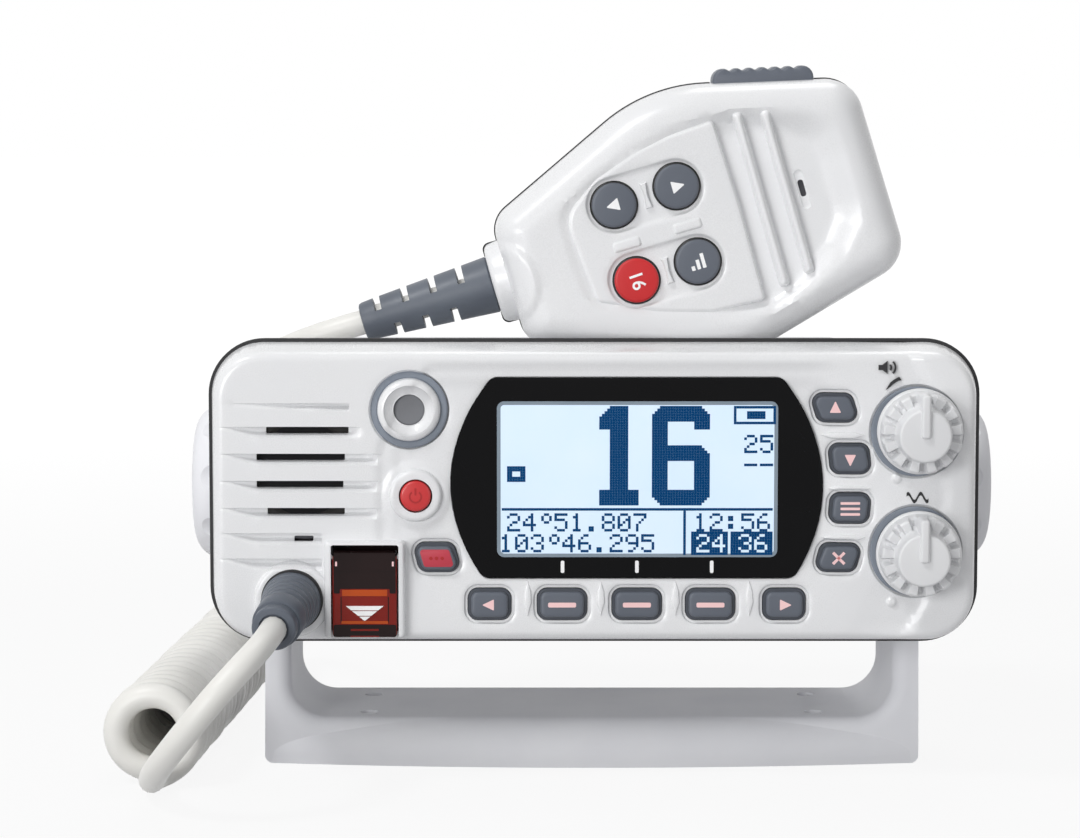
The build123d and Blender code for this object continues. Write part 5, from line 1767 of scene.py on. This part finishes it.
# ---- Distress flap --------------------
@dataclass
class DistressFlap:
    """Clear red flap: barrel, plate, side walls, darker patches of painted shade, brighter patches of painted light,
    and a white arrow.
    """

    left: float = -61.4
    right: float = -46.3
    top: float = -14.4
    bottom: float = -34.4
    front: float = 2.7
    axis: Point2 = (0.4, -15.6)

    def pad(self, skin: Skin, x: Point2, z: Point2, corner: float, proud: float,
            finish: Paint) -> None:
        """A patch that stands a little proud of the flap's face, from its two ranges."""
        outline = frame_outline((x[0], z[0]), (x[1], z[1]), corner)
        skin.plate(PANEL, outline, self.front - 0.3, self.front + proud, finish)

    def build(self) -> None:
        """Makes the flap, its painted shade and painted light, and what is printed on it."""
        skin = Skin()
        left, right, top, bottom, front = self.left, self.right, self.top, self.bottom, self.front
        clear, dark, bright = Paint.FLAP, Paint.FLAP_PAINTED_SHADE, Paint.FLAP_PAINTED_LIGHT
        plate = frame_outline((left, bottom), (right, top), 0.8)
        rounding = ((0.0, front - 1.4), (0.0, front - 0.35), (-0.12, front - 0.1), (-0.4, front))
        skin.loft([PANEL.ring(grown(plate, inset), rise) for inset, rise in rounding], clear)
        middle = (left + right) / 2
        inner, outer = right - middle - 1.7, right - middle - 0.25
        # Darker top, cap and foot of the flap: painted shade.
        shade = rounded([(middle - outer, -24.0), (middle - inner, -24.0), (middle - inner, -22.9),
                         (middle + inner, -22.9), (middle + inner, -24.0), (middle + outer, -24.0),
                         (middle + outer, top - 0.2), (middle - outer, top - 0.2)], [0.3] * 8, 4)
        skin.plate(PANEL, shade, front - 0.3, front + 0.08, dark)
        self.pad(skin, (middle - outer, middle + outer), (-18.6, top - 0.2), 0.4, 0.26, dark)
        cap = frame_outline((left - 0.04, -15.5), (right + 0.04, top + 0.05), 0.8)
        skin.plate(PANEL, cap, front - 1.5, front + 0.1, dark)
        self.pad(skin, (left + 0.2, right - 0.2), (bottom + 0.1, -31.4), 0.4, 0.08, dark)
        # Brighter bands of painted light, and narrow clear bands.
        for low, high, half, finish in ((-24.6, -23.1, 5.3, bright), (-31.2, -30.5, 5.5, bright),
                                        (-32.85, -32.4, 3.3, clear), (-34.3, -34.0, 3.4, clear)):
            self.pad(skin, (middle - half, middle + half), (low, high), 0.14, 0.14, finish)
        # Thin dark lines near the sides: painted shade.
        for x in (left + 2.0, right - 2.0):
            self.pad(skin, (x - 0.12, x + 0.12), (-30.9, -24.8), 0.05, 0.06, dark)
        for side in (left + 0.05, right - 1.25):
            wall = frame_outline((side, -33.4), (side + 1.2, -16.6), 0.2)
            skin.plate(PANEL, wall, -1.6, front - 0.8, clear)
        for high, low in ((-26.95, -27.95), (-28.15, -29.25), (-29.45, -30.4)):
            head, foot = (4.4 * (z + 30.5) / 3.55 for z in (high, low))
            stripe = [(middle - foot, low), (middle + foot, low), (middle + head, high),
                      (middle - head, high)]
            skin.plate(PANEL, stripe, front, front + 0.24, Paint.LEGEND_WHITE_PAINTED_GLOW)
        for x in (left + 0.9, right - 0.9):
            notch = frame_outline((x - 0.22, -17.5), (x + 0.22, -16.4), 0.12)
            skin.plate(PANEL, notch, front, front + 0.31, Paint.LEGEND_PINK_PAINTED_GLOW)
        # The hinge barrel in the darker red: painted shade.
        depth, height = self.axis
        barrel = [[PANEL.point(x, height + reach * math.sin(a), depth + reach * math.cos(a))
                   for a in np.linspace(0, math.tau, 24, endpoint=False)]
                  for x, reach in ((left + 0.1, 1.3), (left + 0.35, 1.58),
                                   (right - 0.35, 1.58), (right - 0.1, 1.3))]
        skin.loft(barrel, dark)
        flap = skin.piece("flap_cover", "flap", 30)
        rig.replaces(flap, "distress_cover")
        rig.slot(flap, "clear_red")


# ---- Strain reliefs --------------------
@dataclass
class Sleeve:
    """A turned or slotted sleeve round a cord, drawn along its own axis."""

    root: Point3
    tip: Point3

    def frame(self) -> tuple[Vector, Vector, Vector, Vector]:
        """The sleeve's own axes.

        Returns:
            The root, the way along the axis, and two directions square to it.
        """
        root = Vector(self.root)
        way = (Vector(self.tip) - root).normalized()
        front = Vector((0, -1, 0))
        side = way.cross(front)
        if side.length < 0.3:
            side = way.cross(Vector((0, 0, 1)))
        side.normalize()
        return root, way, side, way.cross(side)

    def ring(self, along: float, radii: Sequence[float]) -> list[Point3]:
        """One ring of the sleeve.

        Args:
            along: Its distance along the axis.
            radii: A radius for each direction.
        Returns:
            The ring's points.
        """
        root, way, side, front = self.frame()
        turn, middle = math.tau / len(radii), root + way * along
        return [tuple(middle + side * radius * math.cos(turn * i) + front * radius * math.sin(turn * i))
                for i, radius in enumerate(radii)]

    def spin(self, skin: Skin, profile: Sequence[Point2], finish: Paint, count: int = 48) -> None:
        """Turns a profile of (radius, distance) points round the axis.

        Args:
            skin: Where its faces go.
            profile: The points.
            finish: Its paint.
            count: Points in each ring.
        """
        skin.loft([self.ring(along, [radius] * count) for radius, along in profile], finish)


@dataclass
class PanelBoot:
    """Ribbed strain relief that leaves the panel, with a stepped cuff and a flat end."""

    sleeve: Sleeve = field(default_factory=lambda: Sleeve((-71.0, -51.5, 45.2), (-73.7, -75.0, 41.9)))
    ribs: int = 5
    rib_pitch: float = 2.35

    def build(self) -> None:
        """Makes the boot."""
        skin = Skin()
        profile: list[Point2] = [(5.6, -4.0), (6.9, -3.0), (7.0, 0.5)]
        for rib in range(self.ribs):
            start, radius = 0.9 + self.rib_pitch * rib, 7.0 - 0.27 * rib
            profile += [(radius - inset, start + along) for inset, along in
                        ((0.4, 0), (0.08, 0.14), (0, 0.45), (0.06, 1.75), (0.16, 2.0), (0.4, 2.12))]
        profile += [(5.15, 12.9), (5.1, 13.4), (5.75, 13.65), (5.9, 14.0), (5.85, 17.0), (5.75, 19.9),
                    (5.6, 20.15), (5.2, 20.2), (5.1, 20.4), (5.2, 20.6), (5.15, 23.5), (4.9, 23.8),
                    (3.55, 23.85), (3.4, 23.2)]
        self.sleeve.spin(skin, profile, Paint.BOOT, 64)
        boot = skin.piece("panel_boot_rubber", "radio", 30)
        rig.replaces(boot, "panel_boot")
        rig.slot(boot, "slate_rubber")


@dataclass
class MicBoot:
    """Long slotted strain relief: the pale cord shows through its hooked slots."""

    length: float = 33.3
    root_radius: float = 7.0
    tip_radius: float = 4.7
    core: float = 3.35
    slots: int = 7
    first: float = 6.6
    pitch: float = 3.55
    width: float = 1.45
    lap: float = 0.16
    count: int = 60

    def radius(self, along: float) -> float:
        """Outer radius at a distance from the root."""
        return self.root_radius - (self.root_radius - self.tip_radius) * min(1.0, along / self.length)

    def ring(self, sleeve: Sleeve, along: float, slot: int | None) -> list[Point3]:
        """One ring, sunk to the cord inside a slot.

        Args:
            sleeve: Its axis.
            along: Distance from the root.
            slot: The slot that it is in, or None.
        Returns:
            The ring's points.
        """
        outer, count = self.radius(along), self.count
        if slot is None:
            return sleeve.ring(along, [outer] * count)
        middle = math.pi / 2 + (0.95 if slot % 2 else -0.95)
        radii = []
        for step in range(count):
            away = abs((math.tau * step / count - middle + math.pi) % math.tau - math.pi)
            radii.append(self.core if away < 1.75 else outer)
        return sleeve.ring(along, radii)

    def build(self) -> None:
        """Makes the boot."""
        sleeve = Sleeve(MIC_SEAM.point(MIC_BOOT_ROOT, MIC_BOOT_HEIGHT, 0),
                        MIC_SEAM.point(MIC_BOOT_TIP, MIC_BOOT_HEIGHT, 0))
        root_end = ((-6.0, 5.8), (0.1, 6.0), (0.15, 6.7), (0.5, self.root_radius))
        tip_end = ((self.length - 1.0, self.tip_radius), (self.length - 0.25, self.tip_radius - 0.25),
                   (self.length, self.tip_radius - 0.8), (self.length, 3.3), (self.length - 0.6, 3.2))
        rings = [sleeve.ring(along, [radius] * self.count) for along, radius in root_end]
        for slot in range(self.slots):
            start = self.first + self.pitch * slot
            stop = start + self.width
            rings += [self.ring(sleeve, start - self.lap, None), self.ring(sleeve, start, slot),
                      self.ring(sleeve, stop, slot), self.ring(sleeve, stop + self.lap, None)]
        rings += [sleeve.ring(along, [radius] * self.count) for along, radius in tip_end]
        skin = Skin()
        skin.loft(rings, Paint.BOOT)
        skin.finishes.append(Paint.CORD)
        root, way, _, _ = sleeve.frame()
        for number, face in enumerate(skin.faces[:-2]):
            reach = [(Vector(skin.points[i]) - root).cross(way).length for i in face]
            if max(reach) < self.core + 0.1 and (Vector(skin.points[face[0]]) - root).dot(way) > 3:
                skin.slots[number] = 1
        boot = skin.piece("mic_boot_rubber", "mic", 40)
        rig.replaces(boot, "mic_boot")
        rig.slot(boot, "slate_rubber")


# ---- Microphone --------------------
@dataclass
class Microphone:
    """Fist microphone: moulded face, collar, round keys and their signs."""

    outline: tuple[Point2, ...] = ((-37.2, -17.0), (8.2, -36.1), (57.1, -23.2), (56.3, 22.6), (8.5, 34.5),
                                   (-37.2, 14.0))
    outline_rounds: tuple[float, ...] = (7.0, 40.0, 9.0, 9.0, 40.0, 7.0)
    basin: tuple[Point2, ...] = (
        (-17.0, -14.0), (-12.3, -15.8), (-7.0, -18.9), (5.4, -23.6), (14.0, -25.4), (23.0, -25.9),
        (32.9, -23.2), (43.2, -18.6), (49.5, -11.5), (50.7, -6.0), (50.5, 7.0), (49.0, 14.5), (44.8, 18.9),
        (36.5, 22.0), (28.0, 23.9), (19.1, 24.6), (10.0, 24.3), (0.2, 22.4), (-10.0, 18.5), (-21.6, 11.8),
        (-20.3, -11.0))
    plateau: tuple[Point2, ...] = (
        (-5.0, -17.6), (8.0, -21.6), (21.2, -22.6), (21.5, 1.0), (20.9, 22.8), (9.4, 21.9), (-0.1, 20.1),
        (-10.3, 16.7), (-19.7, 10.2), (-18.0, -11.4), (-12.0, -14.2))
    keys: tuple[tuple[str, Point2], ...] = (
        ("left", (-7.6, 9.7)), ("right", (8.0, 9.8)), ("channel", (-7.4, -9.1)), ("level", (7.9, -8.9)))
    key_radius: float = 5.6
    seam: float = -17.0
    talk_middle: Point2 = (35.4, 27.8)
    talk_waves: int = 6

    def ground(self, x: np.ndarray, z: np.ndarray) -> np.ndarray:
        """Rise of the face's wide forms: a basin that deepens towards the sound slot.

        Args:
            x: Points' distances along the microphone.
            z: Points' distances across it.
        Returns:
            The rise at each point.
        """
        inside = -signed_distance(rounded(self.basin, [7.0] * len(self.basin), 6), x, z)
        width = 1.3 + 2.6 * eased((x + 20.0) / 22.0) + 5.2 * eased((x - 24.0) / 22.0)
        depth = 0.85 + 2.3 * eased((x - 6.0) / 17.0)
        return -depth * eased(inside / width)

    def features(self) -> list[Feature]:
        """Plateau, ribs, wells and small pads.

        Returns:
            The features, later ones over earlier ones.
        """
        edge = ((-0.95, 1.0), (-0.75, 0.97), (-0.5, 0.82), (-0.25, 0.5), (-0.08, 0.18), (0.0, 0.0))
        made = [Feature(rounded(self.plateau, [2, 6, 1.4, 0, 1.4, 8, 9, 9, 7, 2, 3], 6), edge, level=-0.25)]
        made.append(Feature(circle((-40.0, MIC_BOOT_HEIGHT), 11.3), slope(-2.6, 0.0, 0.9, 0.0, 5)))
        crest = ((-1.2, 1.0), (-0.9, 0.95), (-0.55, 0.78), (-0.25, 0.45), (0.0, 0.0))
        for middle, low, high in ((26.5, -20.7, 22.7), (33.0, -19.3, 21.2)):
            rib = frame_outline((middle - 1.35, low), (middle + 1.35, high), 1.1, 6)
            made.append(Feature(rib, crest, level=-0.1))
        well = ((-0.9, -0.75), (-0.55, -0.7), (-0.2, -0.45), (0.0, -0.15), (0.3, 0.0))
        for v in (9.7, -9.0):
            made.append(Feature(frame_outline((-14.3, v - 6.75), (14.4, v + 6.75), 6.6, 12), well))
        pad = ((-0.7, 0.55), (-0.45, 0.5), (-0.2, 0.3), (0.0, 0.0))
        for low, high in (((-10.6, -1.5), (-3.8, 1.1)), ((4.4, -1.3), (11.4, 1.3))):
            made.append(Feature(frame_outline(low, high, 0.7), pad))
        for u, v in ((0.35, 9.7), (0.3, -9.0)):
            post = [(u - 0.8, v - 3.1), (u + 0.9, v - 3.1), (u + 0.55, v), (u + 0.9, v + 3.1),
                    (u - 0.8, v + 3.1), (u - 0.45, v)]
            made.append(Feature(post, ((-0.3, 0.9), (-0.1, 0.7), (0.05, 0.0))))
        sound_slot = frame_outline((35.7, -4.3), (37.9, 5.4), 1.0)
        made.append(Feature(sound_slot, ((-0.8, -0.4), (-0.3, -0.3), (0.0, 0.0))))
        return made

    def face(self) -> None:
        """The moulded front half."""
        outline = resampled(rounded(self.outline, self.outline_rounds, 22), 1.6)
        turns = [math.radians(a) for a in (0, 9, 18, 28, 38, 50, 62, 76, 90)]
        edge = ((0.0, self.seam),
                *((0.16 + 7.9 * (1 - math.cos(a)), -8.2 * (1 - math.sin(a))) for a in turns))
        holes = [circle(centre, self.key_radius + 0.22, 56) for _, centre in self.keys]
        holes.append(frame_outline((36.1, -1.2), (37.5, 2.9), 0.6))
        relief = Relief(MIC, outline, edge, self.ground, self.features(), holes, [], rim=(2.0, self.seam),
                        floor=-4.6, wall=0.9)
        skin = Skin()
        relief.add_to(skin, Paint.WHITE)
        self.collar(skin)
        shell = skin.piece("mic_face_moulding", "mic", 33)
        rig.replaces(shell, "mic_front_shell")
        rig.slot(shell, "white_plastic")

    def collar(self, skin: Skin) -> None:
        """Front half of the round collar that the boot comes out of.

        Args:
            skin: Where its faces go.
        """
        rounds = [math.radians(a) for a in (0, 22, 45, 68, 90)]
        profile = [(-28.0, 11.0), (-34.0, 10.5),
                   *((MIC_BOOT_ROOT + 1.6 * (1 - math.sin(a)), 8.2 + 1.6 * math.cos(a)) for a in rounds),
                   (MIC_BOOT_ROOT, 6.1), (-40.0, 6.05)]
        half_turn = [math.pi * i / 28 for i in range(29)]
        skin.loft([[MIC.point(along, MIC_BOOT_HEIGHT + radius * math.cos(a), self.seam + radius * math.sin(a))
                    for a in half_turn] for along, radius in profile], Paint.WHITE)

    def key_caps(self) -> None:
        """Round keys with a black foot of painted shade in the gap round them, a soft dome and a plain sign."""
        for name, centre in self.keys:
            skin = Skin()
            red = name == "channel"
            body = Paint.RED_RUBBER if red else Paint.SLATE
            # Black foot in the gap round the key: painted shade.
            skin.spin(MIC, centre, [(5.6, -6.3), (5.6, -0.5), (5.35, -0.3), (5.2, -0.3)], Paint.INK)
            dome = [(5.3, -0.6), (5.3, 0.15), *arc((4.5, 0.15), (0.8, 0.5), np.linspace(0.25, 1.45, 6)),
                    (2.5, 0.72), (0.6, 0.76)]
            skin.spin(MIC, centre, dome, body)
            for outline in self.signs(name, centre):
                skin.plate(MIC, outline, 0.45, 0.84, Paint.LEGEND_WHITE_PAINTED_GLOW)
            if red:
                skin.numbers(MIC, "16", centre, 4.6, -87.0, 0.5, 0.84, Paint.LEGEND_WHITE_PAINTED_GLOW)
            cap = skin.piece(f"mic_key_{name}_face", f"mic_key_{name}_cap", 40)
            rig.replaces(cap, f"mic_key_{name}")
            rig.slot(cap, "red_rubber" if red else "slate_rubber")

    @staticmethod
    def signs(name: str, centre: Point2) -> list[list[Point2]]:
        """The outlines of a key's sign.

        Args:
            name: The key's name.
            centre: Its middle.
        Returns:
            The outlines, all plain shapes.
        """
        if name in ("left", "right"):
            return [Keypad.arrow(centre, 2.0, 180.0 if name == "left" else 0.0)]
        if name == "level":
            return [frame_outline((centre[0] - 1.9 + 1.35 * step, centre[1] - 1.8),
                                  (centre[0] - 1.05 + 1.35 * step, centre[1] - 0.7 + 1.25 * step), 0.15)
                    for step in range(3)]
        return []

    def talk_bar(self) -> None:
        """Push-to-talk bar on the shoulder, with a wavy crown."""
        plane = Facing(MIC_SEAM.point(*self.talk_middle, 0.0), MIC_LEAN - 13.9)
        end, corner, crown = 12.2, 2.8, 3.4
        flat = end - corner
        turns = np.linspace(0, math.pi / 2, 7)
        outline = [(-end, -5.4), (end, -5.4)]
        outline += arc((flat, crown - corner), (corner, corner), turns[:-1])
        outline += [(x, crown - 0.3 * (1 - math.cos(math.tau * self.talk_waves * (x + flat) / (2 * flat))))
                    for x in np.linspace(flat, -flat, 10 * self.talk_waves + 1)]
        outline += [(-flat - corner * math.sin(a), crown - corner + corner * math.cos(a)) for a in turns[1:]]
        profile = ((-0.6, -6.0), (-0.15, -5.8), (0.0, -5.4), (0.0, 5.2), (-0.12, 5.6), (-0.4, 5.9),
                   (-0.7, 6.0))
        skin = Skin()
        skin.loft([plane.ring(grown(outline, inset), rise) for inset, rise in profile], Paint.SLATE)
        bar = skin.piece("talk_bar", "ptt", 36)
        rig.replaces(bar, "ptt_button")
        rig.slot(bar, "slate_rubber")

    def build(self) -> None:
        """Makes the face, the keys and the bar."""
        self.face()
        self.key_caps()
        self.talk_bar()


# ---- Studio --------------------
@dataclass
class Studio:
    """Camera, pale floor, pale surroundings and soft lamps."""

    camera_place: Point3 = (-12.7, -851.5, 168.5)
    camera_aim: Point3 = (-12.7, -51.5, 87.9)
    lens: float = 114.4
    floor_half: float = 6.0
    floor_drop: float = 0.0002
    floor_glow: float = 1.05
    ambient: float = 0.33
    shadow_share: float = 0.14
    shadow_reach: float = 1.1
    lamps: tuple[tuple[str, Point3, float, float], ...] = (
        ("key_lamp", (-1000.0, -900.0, 1700.0), 420.0, 14.0),
        ("front_lamp", (-950.0, -1500.0, 200.0), 800.0, 15.5),
        ("fill_lamp", (1200.0, -1200.0, 250.0), 1100.0, 2.5),
        ("top_lamp", (200.0, 600.0, 1600.0), 700.0, 5.0))

    def camera(self) -> None:
        """Sets the camera."""
        data = bpy.data.cameras.new("camera")
        data.lens = self.lens
        data.clip_start = 0.02
        camera = placed("camera", data)
        place, aim = Vector(self.camera_place) * MM, Vector(self.camera_aim) * MM
        camera.location = place
        camera.rotation_euler = (aim - place).to_track_quat("-Z", "Y").to_euler()
        bpy.context.scene.camera = camera

    @staticmethod
    def seen(sheet: Sheet) -> Socket:
        """1 for rays that show a background: camera, mirror and glass rays.

        Args:
            sheet: Where its nodes go.
        Returns:
            The value.
        """
        rays = sheet.node("ShaderNodeLightPath")
        mirrored = sheet.maths("MAXIMUM", rays.outputs["Is Glossy Ray"], rays.outputs["Is Transmission Ray"])
        return sheet.maths("MAXIMUM", rays.outputs["Is Camera Ray"], mirrored)

    def surroundings(self) -> None:
        """Sets the world: white where it is seen, softer as light."""
        world = bpy.data.worlds.new("studio_world")
        bpy.context.scene.world = world
        sheet = blank_sheet(world)
        strength = sheet.spread(self.seen(sheet), 0.0, 1.0, self.ambient, 1.0)
        back = sheet.node("ShaderNodeBackground", {"Color": (1, 1, 1, 1), "Strength": strength})
        out = sheet.node("ShaderNodeOutputWorld")
        sheet.tree.links.new(back.outputs[0], out.inputs[0])

    def floor(self) -> None:
        """Lays the pale floor, which keeps a trace of the object's shadow."""
        half = self.floor_half
        mesh = bpy.data.meshes.new("floor")
        corners = [(x * half, y * half, -self.floor_drop) for x, y in ((-1, -1), (1, -1), (1, 1), (-1, 1))]
        mesh.from_pydata(corners, [], [(0, 1, 2, 3)])
        floor = placed("floor", mesh)
        paint = bpy.data.materials.new("pale_floor")
        sheet = blank_sheet(paint)
        matt = sheet.node("ShaderNodeBsdfDiffuse", {"Color": (0.5, 0.5, 0.51, 1)})
        light = sheet.node("ShaderNodeEmission", {"Color": (1, 1, 1, 1), "Strength": self.floor_glow})
        where = sheet.node("ShaderNodeTexCoord").outputs["Object"]
        away = sheet.node("ShaderNodeVectorMath", {0: where}, operation="LENGTH").outputs["Value"]
        plain = sheet.spread(away, 0.3, self.shadow_reach, 1.0 - self.shadow_share, 1.0)
        share = sheet.maths("MULTIPLY", self.seen(sheet), plain)
        both = sheet.node("ShaderNodeMixShader", {0: share, 1: matt.outputs[0], 2: light.outputs[0]})
        out = sheet.node("ShaderNodeOutputMaterial")
        sheet.tree.links.new(both.outputs[0], out.inputs[0])
        mesh.materials.append(paint)
        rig.stage(floor)

    def light(self) -> None:
        """Hangs the soft lamps."""
        for name, place, size, power in self.lamps:
            data = bpy.data.lights.new(name, "AREA")
            data.size = size * MM
            data.energy = power
            lamp = placed(name, data)
            lamp.location = Vector(place) * MM
            lamp.rotation_euler = (Vector((0, 0, 0.07)) - lamp.location).to_track_quat("-Z", "Y").to_euler()

    def build(self) -> None:
        """Sets up everything that isn't the object."""
        bpy.context.scene.view_settings.view_transform = "Standard"
        self.camera()
        self.surroundings()
        self.floor()
        self.light()


def main() -> None:
    """Builds everything in order and writes the two boxes."""
    logging.basicConfig(level=logging.INFO, format="%(name)s: %(message)s")
    dress_frame()
    Cord().build()
    FrontPanel().build()
    Display().build()
    Keypad().build()
    for name, centre in KNOB_CENTRES.items():
        RotaryKnob(name, centre).build()
    DistressFlap().build()
    PanelBoot().build()
    MicBoot().build()
    Microphone().build()
    Studio().build()
    with open("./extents.json", "w") as sizes:
        json.dump({"cad": CAD_BOX, "visual": [list(corner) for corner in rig.bounds()]}, sizes)


if __name__ == "__main__":
    main()
